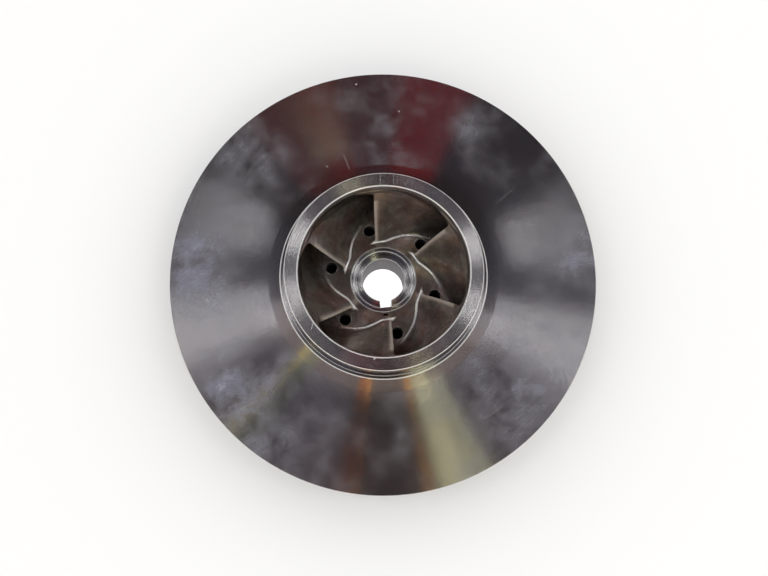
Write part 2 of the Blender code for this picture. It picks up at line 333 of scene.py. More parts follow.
def lathe_grooves(tree, place, scallop, lean, vee):
    """The normal of concentric grooves: their sides slope by lean, plus or minus scallop.

    vee is 0 for an even share of every slope, above 0 for V-shaped grooves, below 0 for flat ones.
    """
    facing = add(tree, "ShaderNodeNewGeometry").outputs["Normal"]
    outward = add(tree, VECTORS, "NORMALIZE", {0: in_plan(tree, place)})
    around = add(tree, VECTORS, "CROSS_PRODUCT", {0: (0, 0, 1), 1: outward})
    across = add(tree, VECTORS, "CROSS_PRODUCT", {0: around, 1: facing})
    run = across_grooves(tree, place)
    turns = add(tree, MATHS, "MULTIPLY", {0: run, 1: 1000 / FEED_MM})
    saw = add(tree, MATHS, "FRACT", {0: turns})
    even = add(tree, MATHS, "MULTIPLY_ADD", {0: saw, 1: 2.0, 2: -1.0})
    cube = add(tree, MATHS, "POWER", {0: even, 1: 3.0})
    steep = add(tree, MATHS, "MULTIPLY", {0: cube, 1: -vee})
    slope = add(tree, MATHS, "MULTIPLY_ADD", {0: even, 1: 1 + vee, 2: steep})
    chatter = add(tree, NOISE, {"noise_dimensions": "1D"},
                  {"W": run, "Scale": 1000 / CHATTER_MM, "Detail": 3.0})
    depth = add(tree, RANGE, None, {"Value": chatter, "From Min": 0.3, "From Max": 0.7,
                                    "To Min": 0.9 * scallop, "To Max": 1.1 * scallop})
    tip = add(tree, MATHS, "MULTIPLY_ADD", {0: slope, 1: depth, 2: lean})
    tilt = add(tree, VECTORS, "SCALE", {0: across, "Scale": tip})
    return add(tree, VECTORS, "NORMALIZE", {0: add(tree, VECTORS, "ADD", {0: facing, 1: tilt})})


print("%.0f grooves from the neck to the rim" % ((RIM_R - NECK_R) / MM / FEED_MM))

# %% [markdown]
# ## What handling leaves on the steel
# A turned face that has been carried and wiped is never evenly bright. A thin film dulls it in soft
# patches, hair-fine scratches cross the patches, and a few grains of dust lie on it. Each of these
# is a mask from noise: soft noise for the patches, stretched noise for the scratches, and the
# distance to scattered points for the dust.

# %% Soft noise and stretched noise
def noise_between(tree, place, size, detail, low, high, floor=0.0, harsh=0.7):
    """A noise of the given feature size, stretched so that low becomes floor and high becomes 1."""
    noise = add(tree, NOISE, None, {"Vector": place, "Scale": 1 / size, "Detail": detail, "Roughness": harsh})
    return add(tree, RANGE, None, {"Value": noise, "From Min": low, "From Max": high, "To Min": floor})


def streaks(tree, place, angle, width, length, low, high, floor=0.0):
    """A noise drawn out in one direction, which may itself be a socket."""
    swung = add(tree, "ShaderNodeVectorRotate", {"rotation_type": "Z_AXIS"},
                {"Vector": place, "Angle": angle})
    drawn = add(tree, VECTORS, "MULTIPLY", {0: swung, 1: (1 / width, 1 / length, 0)})
    lines = add(tree, NOISE, {"noise_dimensions": "2D"}, {"Vector": drawn, "Scale": 1.0, "Detail": 1.0})
    return add(tree, RANGE, None, {"Value": lines, "From Min": low, "From Max": high, "To Min": floor})


print("soft noise makes patches, stretched noise makes scratches")

# %% [markdown]
# ## The film
# Noise alone would put the film anywhere, so the places where hands have held the shroud are given
# one by one, by clock and distance from the axis. Soft noise breaks them up into clouds, and
# stretched noise into wipes, whose direction itself wanders as a hand's does.

# %% Film
PATCH_SIZE = 26 * MM
CLOUD_SIZE = 12 * MM
WIPE_WIDTH = 0.9 * MM
WIPE_LENGTH = 8 * MM
SMEAR_HEIGHT = 40 * MM
SMEARS = {  # clock in degrees, distance from the axis, reach and strength
    "upper right": (31, 96 * MM, 24 * MM, 0.3),
    "right": (84, 104 * MM, 24 * MM, 0.7),
    "lower right": (134, 92 * MM, 46 * MM, 0.75),
    "lower left": (212, 96 * MM, 46 * MM, 0.5),
    "left, below the lamp": (235, 93 * MM, 34 * MM, 1.05),
    "left, above the lamp": (274, 96 * MM, 34 * MM, 1.3),
    "upper left": (311, 94 * MM, 38 * MM, 0.6),
    "thumb": (355, 69 * MM, 6 * MM, 0.3),
    "forefinger": (6, 69 * MM, 6 * MM, 0.3),
}


def film_mask(tree, place):
    """Soft patches: 0 where the steel is clean and 1 where the film is thickest."""
    film = noise_between(tree, place, PATCH_SIZE, 2.0, 0.4, 1.0, 0.0, 0.5)
    for clock, radius, reach, strength in SMEARS.values():
        clock = math.radians(clock)
        centre = (radius * math.sin(clock), radius * math.cos(clock), SMEAR_HEIGHT)
        away = add(tree, VECTORS, "DISTANCE", {0: place, 1: centre}).outputs["Value"]
        near = add(tree, RANGE, {"interpolation_type": "SMOOTHERSTEP"},
                   {"Value": away, "From Min": reach, "From Max": 0.0})
        film = add(tree, MATHS, "MULTIPLY_ADD", {0: near, 1: strength, 2: film})
    clouds = noise_between(tree, place, CLOUD_SIZE, 3.0, 0.3, 0.7, 0.1, 0.55)
    swirl = noise_between(tree, place, 2 * PATCH_SIZE, 1.0, 0.3, 0.7, 0.4)
    wipes = streaks(tree, place, swirl, WIPE_WIDTH, WIPE_LENGTH, 0.2, 0.8, 0.65)
    film = add(tree, MATHS, "MULTIPLY", {0: film, 1: clouds})
    return add(tree, MATHS, "MULTIPLY", {0: film, 1: wipes})


print("film with %d smears" % len(SMEARS))

# %% [markdown]
# ## Single marks and dust
# The eye knows worn metal by a few single marks more than by an even haze: radial nicks on the
# neck's face, a long scratch, a speck of dust. Each mark is a short line, and its mask is the
# distance to that line, broken up by noise. A decal would need a picture; this needs six numbers.

# %% Scratches, smudges and dust
DUST_SPACING = 14 * MM
DUST_SIZE = 0.3 * MM
UNEVEN_SIZE = 0.9 * MM
SHROUD_MARKS = [  # from x, y to x, y, then width, all in mm, and strength
    (-71.7, -66.4, -63.6, -62.5, 0.5, 0.25), (51.4, -71.1, 59.0, -65.6, 1.3, 0.25),
    (-20.6, 64.4, -16.4, 53.5, 0.6, 0.3), (57.6, 38.4, 66.7, 46.1, 0.6, 0.2),
    (-14.5, 103.5, -13.9, 103.9, 0.5, 0.9), (8.3, 88.4, 8.3, 88.6, 0.5, 0.9),
]
FACE_MARKS = [
    (-1.8, 49.1, -1.8, 42.7, 0.3, 0.5), (4.8, 47.9, 4.8, 43.3, 0.3, 0.4), (6.7, 47.9, 6.7, 43.6, 0.3, 0.4),
    (8.6, 47.6, 8.4, 44.0, 0.3, 0.3), (-34.2, -24.7, -35.1, -28.6, 0.4, 0.7),
    (-4.9, -43.2, -4.4, -42.8, 0.5, 0.9),
]


def grain_mask(tree, place, spacing, size, chosen_from=0.6):
    """A few grains, each a small spot."""
    cells = add(tree, "ShaderNodeTexVoronoi", None, {"Vector": place, "Scale": 1 / spacing})
    chosen = add(tree, "ShaderNodeSeparateColor", None, {"Color": cells.outputs["Color"]}).outputs["Red"]
    reach = add(tree, RANGE, None, {"Value": chosen, "From Min": chosen_from, "To Max": size / spacing})
    return add(tree, MATHS, "LESS_THAN", {0: cells.outputs["Distance"], 1: reach})


def marks_mask(tree, place, marks):
    """Dust and single marks; each mark fades from a line's middle to its sides."""
    flat = add(tree, VECTORS, "MULTIPLY", {0: place, 1: (1 / MM, 1 / MM, 0)})  # in mm, as the marks are
    uneven = noise_between(tree, place, UNEVEN_SIZE, 2.0, 0.3, 0.6, 0.3)
    mask = grain_mask(tree, place, DUST_SPACING, DUST_SIZE)
    for x1, y1, x2, y2, width, strength in marks:
        run = Vector((x2 - x1, y2 - y1, 0))
        offset = add(tree, VECTORS, "SUBTRACT", {0: flat, 1: (x1, y1, 0)})
        share = add(tree, VECTORS, "DOT_PRODUCT", {0: offset, 1: run / run.length_squared}).outputs["Value"]
        share = add(tree, "ShaderNodeClamp", None, {0: share})
        nearest = add(tree, VECTORS, "SCALE", {0: run, "Scale": share})
        away = add(tree, VECTORS, "DISTANCE", {0: offset, 1: nearest}).outputs["Value"]
        line = add(tree, RANGE, {"interpolation_type": "SMOOTHSTEP"},
                   {"Value": away, "From Min": width, "From Max": 0.3 * width, "To Max": strength})
        line = add(tree, MATHS, "MULTIPLY", {0: line, 1: uneven})
        mask = add(tree, MATHS, "MAXIMUM", {0: mask, 1: line})
    return mask


print("%d single marks" % (len(SHROUD_MARKS) + len(FACE_MARKS)))

# %% [markdown]
# ## Turned stainless steel
# One recipe serves every machined face. The film and the scratches take away some of the metal and
# lighten it, because a film scatters light where clean steel only mirrors; the grooves spread the
# reflections outwards from the axis. The faces differ in how deep the tool cut and how it leaned:
# the shroud is deep and broad, the neck's face is fine, and the nut seat shows single rings.

# %% Material: turned stainless steel
RING_SPACING = 0.45 * MM
SCRATCH_WIDTH = 0.35 * MM  # real hairlines are finer, and wouldn't show at half a millimetre a pixel
SCRATCH_LENGTH = 6 * MM
SCRATCH_ANGLES = (0.4, 1.5, 2.5)
FILM_ROUGHNESS = 0.06  # the film adds this to the polish


def turned_steel(name, steel, film, polish, scallop, film_share, scratch_share=0.02, lean=0.0, grain=1.0,
                 rings=0.0, dull=0.0, marks=(), vee=-0.25):
    """Turned stainless steel, from the colours of clean steel and of its film.

    polish is its roughness, less across the grooves by grain, 0 to 1; scallop, lean and vee shape
    the grooves. The shares say how much film and scratches show, dull is film everywhere, and
    rings, if not 0, is how light the dark rings are.
    """
    material, tree, shader = new_material(name, {"Anisotropic": grain, "Anisotropic Rotation": 0.25})
    place = add(tree, "ShaderNodeTexCoord").outputs["Object"]
    haze = add(tree, MATHS, "MULTIPLY_ADD", {0: film_mask(tree, place), 1: film_share, 2: dull})
    rough = add(tree, RANGE, None, {"Value": haze, "To Min": polish, "To Max": polish + FILM_ROUGHNESS})
    for angle in SCRATCH_ANGLES:
        scratches = streaks(tree, place, angle, SCRATCH_WIDTH, SCRATCH_LENGTH, 0.6, 0.72)
        haze = add(tree, MATHS, "MULTIPLY_ADD", {0: scratches, 1: scratch_share, 2: haze})
    tint = add(tree, MATHS, {"operation": "MULTIPLY", "use_clamp": True}, {0: haze, 1: 1.6})
    colour = laid_over(tree, srgb(steel), [(tint, srgb(film))])
    if rings:
        lines = add(tree, NOISE, {"noise_dimensions": "1D"},
                    {"W": across_grooves(tree, place), "Scale": 1 / RING_SPACING, "Detail": 1.0})
        shade = add(tree, RANGE, None, {"Value": lines, "From Min": 0.4, "From Max": 0.55, "To Min": rings})
        colour = laid_over(tree, srgb(film), [(shade, colour)])
    bright = marks_mask(tree, place, marks)
    haze = add(tree, MATHS, {"operation": "MAXIMUM", "use_clamp": True}, {0: haze, 1: bright})
    feed(tree, shader, {
        "Base Color": laid_over(tree, colour, [(bright, srgb("#F4F2F0"))]),
        "Metallic": add(tree, RANGE, None, {"Value": haze, "To Min": 1.0, "To Max": 0.3}),
        "Roughness": rough,
        "Normal": lathe_grooves(tree, place, scallop, lean, vee),
        "Tangent": add(tree, "ShaderNodeTangent", {"direction_type": "RADIAL", "axis": "Z"}),
    })
    return material


print("scratches %.0f mm long in %d directions" % (SCRATCH_LENGTH / MM, len(SCRATCH_ANGLES)))

# %% [markdown]
# ## The turned faces
# Each face was cut with its own tool and feed, so each gets its own grooves. The numbers were found
# by setting the render beside the photograph: scallop decides how far round a lamp's reflection is
# drawn out, lean decides which lamp it is, and polish how crisp its sides are.

# %% The turned finishes
# The shroud: deep scallops, so a dark mirror that draws every lamp out into a wedge from neck to rim.
turned = turned_steel("turned_stainless_steel", "#C4C1C2", "#A0A0AE", polish=0.22, scallop=0.5,
                      film_share=0.9, vee=-0.1, marks=SHROUD_MARKS)
# The steep fillet, cut with a finer feed that leaned outwards: it stays dark beside the bright neck.
blended = turned_steel("blended_stainless_steel", "#C4C1C2", "#9C9AA8", polish=0.24, scallop=0.34,
                       film_share=0.1, lean=0.13, vee=0.0)
# The neck's face, faced with a sharp tool: a light satin ring, crossed by fine nicks.
faced = turned_steel("faced_stainless_steel", "#E4E1E0", "#A8A4AC", polish=0.22, scallop=0.32,
                     film_share=0.5, scratch_share=0.12, lean=-0.08, grain=0.95, dull=0.03, marks=FACE_MARKS)
# The nut's seat: V-shaped grooves far apart, so that single bright and dark rings show.
seat_steel = turned_steel("nut_seat_stainless_steel", "#FFFEFD", "#4A4442", polish=0.24, scallop=0.27,
                          film_share=0.02, lean=-0.02, grain=0.95, rings=0.1, vee=0.35)
# The dish inside the seat: the same rings, leaning outwards against its slant, so that it shines too.
dish_steel = turned_steel("dished_stainless_steel", "#FFFEFD", "#4A4442", polish=0.26, scallop=0.36,
                          film_share=0.02, lean=0.16, grain=0.95, rings=0.1, vee=0.35)
# Broken edges: rough from the file, and coloured a light, less metallic white as a painted highlight, so that
# they stay light all the way round.
filed_edge = turned_steel("filed_edge_stainless_steel", "#F4F2F0", "#FFFEFC", polish=0.3, scallop=0.03,
                          film_share=0.1, dull=0.8)
# The bore: reamed, and coloured dark, with faint rings.
reamed = turned_steel("reamed_stainless_steel", "#3A2C30", "#221A1C", polish=0.3, scallop=0.3,
                      film_share=0.05, grain=0.9, rings=0.2)
turned_finishes = (turned, blended, faced, seat_steel, dish_steel, filed_edge, reamed)
print("turned finishes:", *[finish.name for finish in turned_finishes])

# %% [markdown]
# ## Cast stainless steel
# The passages are left as the mould gave them: shot-blasted, warm grey, with a fine skin of grain
# that catches light only along the fillets. The grain is a bump from a small noise, a little
# coarser than real grit marks, and a wider noise varies how rough and how brown the skin is. Deeper
# in the passages the colour turns dark as painted shade, where the real passages lie in shadow; without
# it the passages would look lit from within. The mouths of the drilled holes, the vanes' noses and
# the first stretch of their roots get painted highlights: a light, less metallic colour.

# %% The mouths of the drilled holes
RIM_WIDTH = 0.35 * MM
RIM_PATCH_SIZE = 2.5 * MM


def hole_rim_highlights(tree, place):
    """1 along the mouths of the drilled holes, where a highlight is painted."""
    parts = add(tree, "ShaderNodeSeparateXYZ", None, {0: place}).outputs
    clock = add(tree, MATHS, "ARCTAN2", {0: parts["X"], 1: parts["Y"]})
    clock = add(tree, MATHS, "SUBTRACT", {0: clock, 1: HOLE_CLOCK})
    half = math.pi / VANE_COUNT
    clock = add(tree, MATHS, "WRAP", {0: clock, 1: -half, 2: half})
    radius = radius_at(tree, place)
    across = add(tree, MATHS, "MULTIPLY", {0: radius, 1: add(tree, MATHS, "SINE", {0: clock})})
    cosine = add(tree, MATHS, "COSINE", {0: clock})
    outward = add(tree, MATHS, "MULTIPLY_ADD", {0: radius, 1: cosine, 2: -HOLE_CIRCLE})
    spot = add(tree, "ShaderNodeCombineXYZ", None, {"X": across, "Y": outward})
    away = add(tree, VECTORS, "LENGTH", {0: spot}).outputs["Value"]
    rim = add(tree, RANGE, None,
              {"Value": away, "From Min": HOLE_R + RIM_WIDTH, "From Max": HOLE_R + 0.3 * RIM_WIDTH})
    return add(tree, MATHS, "MULTIPLY", {0: rim, 1: noise_between(tree, place, RIM_PATCH_SIZE, 2.0, 0.45, 0.6)})


print("hole mouths %.1f mm across" % (2000 * HOLE_R))

# %% [markdown]
# ## A recipe for cast faces
# The same recipe makes the passage walls, the drilled flange, the vanes and the hollow of a casting
# flaw. Where the vanes get painted highlights, no noise could say, because a nose and a root are places on
# the vane: the vane's mesh brings them along as two attributes, and the recipe reads them.

# %% Material: cast stainless steel
GRAIN_SIZE = 0.8 * MM  # coarser than real blasting marks, so that a pixel of half a millimetre can hold it
LUMP_SIZE = 3.5 * MM
SKIN_SIZE = 9 * MM
TINT_SIZE = 15 * MM
CRUMB_SPACING = 4 * MM
CRUMB_SIZE = 0.3 * MM
GRAIN_DEPTH = 0.07 * MM
LUMP_DEPTH = 0.15 * MM


def cast_steel(name, light, dark, painted_shade_radii=(43 * MM, 58 * MM), drilled=False, painted_highlights=False):
    """Blasted cast stainless steel, darkened by painted shade from the first radius given to the second.

    drilled adds painted highlights along the hole rims, and the vanes' flag adds painted highlights on
    their noses and roots.
    """
    material, tree, shader = new_material(name)
    place = add(tree, "ShaderNodeTexCoord").outputs["Object"]
    skin = noise_between(tree, place, SKIN_SIZE, 5.0, 0.3, 0.7)
    lumps = noise_between(tree, place, LUMP_SIZE, 2.0, 0.3, 0.7)
    grain = noise_between(tree, place, GRAIN_SIZE, 2.0, 0.25, 0.75)
    heat = noise_between(tree, place, TINT_SIZE, 1.0, 0.3, 0.7)
    tint = add(tree, "ShaderNodeValToRGB", {"stops": [
        (0.2, srgb("#E8EAE2")), (0.5, srgb("#F4F2F0")), (0.8, srgb("#F4E0D8"))]}, {"Fac": heat})
    colour = add(tree, "ShaderNodeValToRGB", {"stops": [(0.2, srgb(dark)), (0.8, srgb(light))]},
                 {"Fac": skin})
    colour = add(tree, "ShaderNodeMix", {"data_type": "RGBA", "blend_type": "MULTIPLY"},
                 {"Factor": 1.0, 6: colour, 7: tint}).outputs[2]
    # Painted shade: the colour darkens with the radius, deep in the passages where the real ones lie in
    # shadow.
    painted_shade = add(tree, RANGE, None, {"Value": radius_at(tree, place), "From Min": painted_shade_radii[0],
                                    "From Max": painted_shade_radii[1], "To Max": 0.9})
    rough = add(tree, RANGE, None, {"Value": skin, "To Min": 0.36, "To Max": 0.25})
    bright = grain_mask(tree, place, CRUMB_SPACING, CRUMB_SIZE, 0.8)
    # Painted highlights along the rims of the drilled holes.
    if drilled:
        bright = add(tree, MATHS, "MAXIMUM", {0: bright, 1: hole_rim_highlights(tree, place)})
    layers = [(painted_shade, srgb("#24201E")), (bright, srgb("#F0ECE6"))]
    # Painted highlights on the vanes: a light nose and a white root line, in colour and in less metal; the
    # root is also less rough.
    if painted_highlights:
        nose, root = [add(tree, "ShaderNodeAttribute", {"attribute_name": name}).outputs["Fac"]
                      for name in ("nose_painted_highlight", "smooth_root_highlight")]
        layers += [(nose, srgb("#E2D6CA")), (root, srgb("#FFFEFC"))]
        rough = add(tree, "ShaderNodeMix", None, {"Factor": root, "A": rough, "B": 0.22})
        for share, amount in ((nose, 0.5), (root, 0.9)):
            bright = add(tree, MATHS, {"operation": "MULTIPLY_ADD", "use_clamp": True},
                         {0: share, 1: amount, 2: bright})
    broad = add(tree, "ShaderNodeBump", None, {"Height": lumps, "Strength": 0.5, "Distance": LUMP_DEPTH})
    feed(tree, shader, {
        "Base Color": laid_over(tree, colour, layers),
        "Roughness": rough,
        "Metallic": add(tree, RANGE, None, {"Value": bright, "To Min": 0.9, "To Max": 0.4}),
        "Normal": add(tree, "ShaderNodeBump", None,
                      {"Height": grain, "Strength": 0.6, "Distance": GRAIN_DEPTH, "Normal": broad}),
    })
    return material


print("casting grain %.1f mm, lumps %.1f mm" % (GRAIN_SIZE / MM, LUMP_SIZE / MM))

# %% [markdown]
# ## The cast faces
# Two colours, a light and a dark one, set how light a face is. The flange round the
# hub is given the lightest.

# %% The cast finishes
# Passage walls: warm grey and matt near the hub, with painted shade deep inside.
cast = cast_steel("cast_stainless_steel", "#D8CECA", "#A49A97", painted_shade_radii=(33 * MM, 44 * MM))
# The flange round the hub: a lighter colour, with painted highlights along the rims of the drilled holes.
drilled_cast = cast_steel("drilled_cast_stainless_steel", "#F0E8E6", "#B8AEAC", drilled=True)
# The vanes: as cast, with painted shade deep inside and painted highlights: a light nose, and a white line
# along the smoother first stretch of the root.
vane_cast = cast_steel("highlighted_cast_stainless_steel", "#D8CECA", "#A49A97", painted_highlights=True)
# The hollow of the flaw: coloured nearly black, as painted shade in the pit.
pitted = cast_steel("pitted_cast_stainless_steel", "#2A2422", "#141010")
print("cast finishes:", *[finish.name for finish in (cast, drilled_cast, vane_cast, pitted)])

# %% [markdown]
# ## Passage walls
# The floor and the roof of the passages are two curves: the floor falls from the hub in a hollow
# arc and runs out as a shallow cone, and the roof comes down the eye wall, bends outwards and runs
# out beside it. The shrouds and the vanes both use them, so that each vane meets its walls.

# %% The passage floor and roof
FLOOR_CREST_Z = 33.8 * MM
FLOOR_ARC_R = 44 * MM
ARC_ROUNDS = 40  # rounds of fitting the arc to both the crest and the cone; it settles long before


def floor_curve(inner_r):
    """The passage floor from a radius out to the rim."""
    tangent = -math.pi / 2 - FLOOR_SLOPE
    centre_r = HUB_R
    for _ in range(ARC_ROUNDS):
        tangent_r = centre_r + FLOOR_ARC_R * math.cos(tangent)
        tangent_z = FLOOR_RIM_Z + (RIM_R - tangent_r) * math.tan(FLOOR_SLOPE)
        centre_z = tangent_z - FLOOR_ARC_R * math.sin(tangent)
        drop = centre_z - FLOOR_CREST_Z
        centre_r = HUB_R + math.sqrt(FLOOR_ARC_R ** 2 - drop ** 2)
    start = -math.pi / 2 - math.asin((centre_r - inner_r) / FLOOR_ARC_R)
    if start > tangent:
        return [(inner_r, FLOOR_RIM_Z + (RIM_R - inner_r) * math.tan(FLOOR_SLOPE)), (RIM_R, FLOOR_RIM_Z)]
    return arc(centre_r, centre_z, FLOOR_ARC_R, start, tangent) + [(RIM_R, FLOOR_RIM_Z)]


def roof_curve(top_z):
    """The eye wall from a height down, the bend, and the passage roof out to the rim."""
    bend_r = EYE_R + EYE_BEND_R * (1 - math.sin(FRONT_SLOPE))
    bend_z = ROOF_RIM_Z + (RIM_R - bend_r) * math.tan(FRONT_SLOPE)
    centre_z = bend_z + EYE_BEND_R * math.cos(FRONT_SLOPE)
    bend = arc(EYE_R + EYE_BEND_R, centre_z, EYE_BEND_R, math.pi, 1.5 * math.pi - FRONT_SLOPE)
    return [(EYE_R, top_z), *bend, (RIM_R, ROOF_RIM_Z)]


print("floor curve %d points, roof curve %d" % (len(floor_curve(HUB_R)), len(roof_curve(NECK_FACE_Z))))

# %% [markdown]
# ## The hollow fillet
# The wide cone rises to the neck in a hollow fillet. It isn't a plain arc: what it mirrors shows
# how its slope grows, slowly at first and then fast. A curve drawn by hand would show dents in the
# reflections, so the slope is given at three radii and summed up to a height.

# %% The fillet's curve
SHOULDER_R = 52.4 * MM
FILLET_KNEE_R = 64.4 * MM
FILLET_START_R = 72.5 * MM
FILLET_TOP_ANGLE = math.radians(40.5)
FILLET_KNEE_ANGLE = math.radians(12.5)
FILLET_POINTS = 48


def hollow():
    """The fillet from the shoulder's edge out to the cone, summed up from its slope at each radius."""
    radius = np.linspace(SHOULDER_R, FILLET_START_R, FILLET_POINTS)
    sine = np.interp(radius, [SHOULDER_R, FILLET_KNEE_R, FILLET_START_R],
                     np.sin([FILLET_TOP_ANGLE, FILLET_KNEE_ANGLE, FRONT_SLOPE]))
    slope = sine / np.sqrt(1 - sine ** 2)
    drop = np.concatenate([[0], np.cumsum((slope[1:] + slope[:-1]) / 2 * np.diff(radius))])
    foot_z = FRONT_RIM_Z + (RIM_R - FILLET_START_R) * math.tan(FRONT_SLOPE)
    return list(zip(radius.tolist(), (foot_z + drop[-1] - drop).tolist()))


hollow_curve = hollow()
print("fillet from %.2f down to %.2f mm high" % (1000 * hollow_curve[0][1], 1000 * hollow_curve[-1][1]))

# %% [markdown]
# ## Front shroud and suction neck
# This is the face that shows most: the cone, its fillet, a narrow shoulder, and the neck that runs
# in the casing's wear ring. Every outside edge was broken with a file or a tool nose, so each
# corner gets a small round or chamfer: that is what catches the bright line round the neck. The
# Bevel modifier could do it, but here each chamfer has its own width, and its own filed finish.

# %% Front shroud and neck, one turned body
EDGE_ROUND = 0.45 * MM
INNER_BREAK = (0.6 * MM, 0.53 * MM)  # width and height of the neck's inner chamfer
OUTER_BREAK = (0.36 * MM, 0.46 * MM)
RELIEF_R = 50.25 * MM  # the tool's relief at the neck's foot ends here
RELIEF_DEPTH = 0.5 * MM
RELIEF_BREAK = (0.4 * MM, 0.25 * MM)
SHOULDER_BREAK = 0.55 * MM
BLEND_R = 58.2 * MM  # inside this radius the fillet was cut with a finer feed
BORED_Z = 57.5 * MM  # the eye was bored down to here, and is as cast below


def front_stretches():
    """The section of the shroud and neck with its finishes, from the neck's inner edge outwards."""
    foot_z = SHOULDER_Z - RELIEF_DEPTH
    side = rounded([(NECK_R, NECK_FACE_Z - OUTER_BREAK[1]), (NECK_R, foot_z), (RELIEF_R, foot_z)],
                   {1: RELIEF_DEPTH})
    rim = rounded([hollow_curve[-1], (RIM_R, FRONT_RIM_Z), (RIM_R, ROOF_RIM_Z), (EYE_R, ROOF_RIM_Z)],
                  {1: EDGE_ROUND, 2: EDGE_ROUND / 2})[1:-1]
    inside = list(reversed(roof_curve(BORED_Z)))[1:]
    steep = sum(r < BLEND_R for r, _ in hollow_curve)
    return [
        (filed_edge, [(EYE_R, NECK_FACE_Z - INNER_BREAK[1])]),
        (faced, [(EYE_R + INNER_BREAK[0], NECK_FACE_Z)]),
        (filed_edge, [(NECK_R - OUTER_BREAK[0], NECK_FACE_Z)]),
        (blended, side),
        (filed_edge, [(RELIEF_R, SHOULDER_Z - RELIEF_BREAK[1])]),
        (blended, [(RELIEF_R + RELIEF_BREAK[0], SHOULDER_Z)]),
        (filed_edge, [(SHOULDER_R - SHOULDER_BREAK, SHOULDER_Z)]),
        (blended, hollow_curve[:steep]),
        (turned, hollow_curve[steep:] + rim),
        (cast, inside[:-1]),
        (blended, inside[-1:]),
    ]


front = turn("front_shroud_and_neck", front_stretches())
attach(front, "root")
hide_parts("front_shroud", "suction_neck")

# %% [markdown]
# ## Back shroud and rear wear ring
# The back is plain: a flat face, a ring of the same size as the neck, and the rim. It was turned in
# the same clamping, so it has the same finish, while the side towards the vanes is as cast.

# %% Back shroud and wear ring, one turned body
FOOT_ROUND = 0.6 * MM


def back_outline():
    """The passage floor, and everything from the rim round the back, as two lists of points."""
    rim = rounded([(FLANGE_R, FLOOR_RIM_Z), (RIM_R, FLOOR_RIM_Z), (RIM_R, BACK_Z), (FLANGE_R, BACK_Z)],
                  {1: EDGE_ROUND / 2, 2: EDGE_ROUND})[1:-1]
    ring = rounded([(RIM_R, BACK_Z), (NECK_R, BACK_Z), (NECK_R, RING_Z), (RING_INNER_R, RING_Z),
                    (RING_INNER_R, BACK_Z), (FLANGE_R, BACK_Z)],
                   {1: FOOT_ROUND, 2: EDGE_ROUND, 3: EDGE_ROUND, 4: FOOT_ROUND})[1:]
    return floor_curve(FLANGE_R)[:-1], rim + ring


floor, rear = back_outline()
back_disc = turn("back_shroud_and_wear_ring", [(cast, floor), (turned, rear)])
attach(back_disc, "root")
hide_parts("back_shroud", "rear_wear_ring")

# %% [markdown]
# ## The hub's section
# The hub is turned first and cut afterwards, as in the workshop. Its section shows how it is used:
# a flat ring where the nut's washer sits, a step down, a shallow dish at a slant, and the bore for
# the shaft. Each has its own finish, since each leans its own way and so mirrors another part of
# the room; narrow filed edges between them give the thin bright circles.

# %% Half a section through the hub
NUT_SEAT_R = 14.6 * MM
NUT_SEAT_STEP = 0.8 * MM
BORE_CHAMFER_R = 13.7 * MM
BORE_CHAMFER_DEPTH = 0.8 * MM
HUB_EDGE = 0.35 * MM  # width of the filed edges, and of the relief groove at the foot of the step
HUB_BLANK_STEPS = 192
DISH_STEP = 0.2 * MM
FLANGE_GAP = 0.2 * MM  # points nearer to the flange's edge than this are left out


def hub_stretches():
    """The hub's section with its finishes, from the seat outwards, round the back and up the bore."""
    edge = HUB_EDGE
    step_z = HUB_Z - NUT_SEAT_STEP
    dish_z = step_z - BORE_CHAMFER_DEPTH
    groove_r = NUT_SEAT_R - edge
    flange = [p for p in floor_curve(HUB_R) if p[0] < FLANGE_R - FLANGE_GAP]
    flange.append(floor_curve(FLANGE_R)[0])
    low_z = hub_low[2]
    rear = rounded([(FLANGE_R, BACK_Z), (HUB_R, BACK_Z), (HUB_R, low_z), (BORE_R, low_z), (BORE_R, dish_z)],
                   {1: FOOT_ROUND, 2: FOOT_ROUND, 3: FOOT_ROUND})[:-1]
    return [
        (seat_steel, [(BORE_CHAMFER_R + DISH_STEP / 2, step_z), (groove_r, step_z)]),
        (turned, [(groove_r, step_z - edge), (NUT_SEAT_R, step_z - edge)]),
        (filed_edge, [(NUT_SEAT_R, HUB_Z - edge)]),
        (seat_steel, [(NUT_SEAT_R + edge, HUB_Z)]),
        (filed_edge, [(HUB_R - edge, HUB_Z)]),
        (turned, [(HUB_R, HUB_Z - edge)]),
        (drilled_cast, flange),
        (turned, rear[:-1]),
        (reamed, rear[-1:]),
        (filed_edge, [(BORE_R, dish_z - edge)]),
        (dish_steel, [(BORE_R + edge, dish_z)]),
        (turned, [(BORE_CHAMFER_R, step_z - DISH_STEP)]),
    ]


blank = turn("hub_blank", hub_stretches(), HUB_BLANK_STEPS)

# %% [markdown]
# ## The hub's tools
# The keyway is broached through the bore, a notch takes the lock washer's tab, and six balance
# holes are drilled through the flange. A grain of sand from the mould left a small pit as well.
# Each of these is the shape of its tool, so each tool is built as a small mesh of its own.

# %% Broach, notch cutter, drills and sand
KEYWAY_CLOCK = math.radians(174)
KEYWAY_WIDTH = 6 * MM
KEYWAY_FLOOR = 14.3 * MM
TAB_NOTCH_REACH = 16.3 * MM
TAB_NOTCH_DEPTH = 1.5 * MM
TOOL_GAP = 0.01 * MM  # keeps the notch's sides off the keyway's, which the Boolean prefers
DRILL_SIDES = 40
PIT_PLACE = (1.4 * MM, -18.15 * MM, 33.5 * MM)
PIT_SIZE = (1.75 * MM, 0.65 * MM, 1.4 * MM)


def as_mesh(name, work):
    """The bmesh as a mesh."""
    mesh = bpy.data.meshes.new(name)
    work.to_mesh(mesh)
    work.free()
    return mesh


def box_mesh(name, low, high):
    """A box between two corners."""
    work = bmesh.new()
    bmesh.ops.create_cube(work, size=1.0)
    centre = (Vector(low) + Vector(high)) / 2
    for vertex in work.verts:
        vertex.co = Vector([v * (b - a) for v, a, b in zip(vertex.co, low, high)]) + centre
    return as_mesh(name, work)


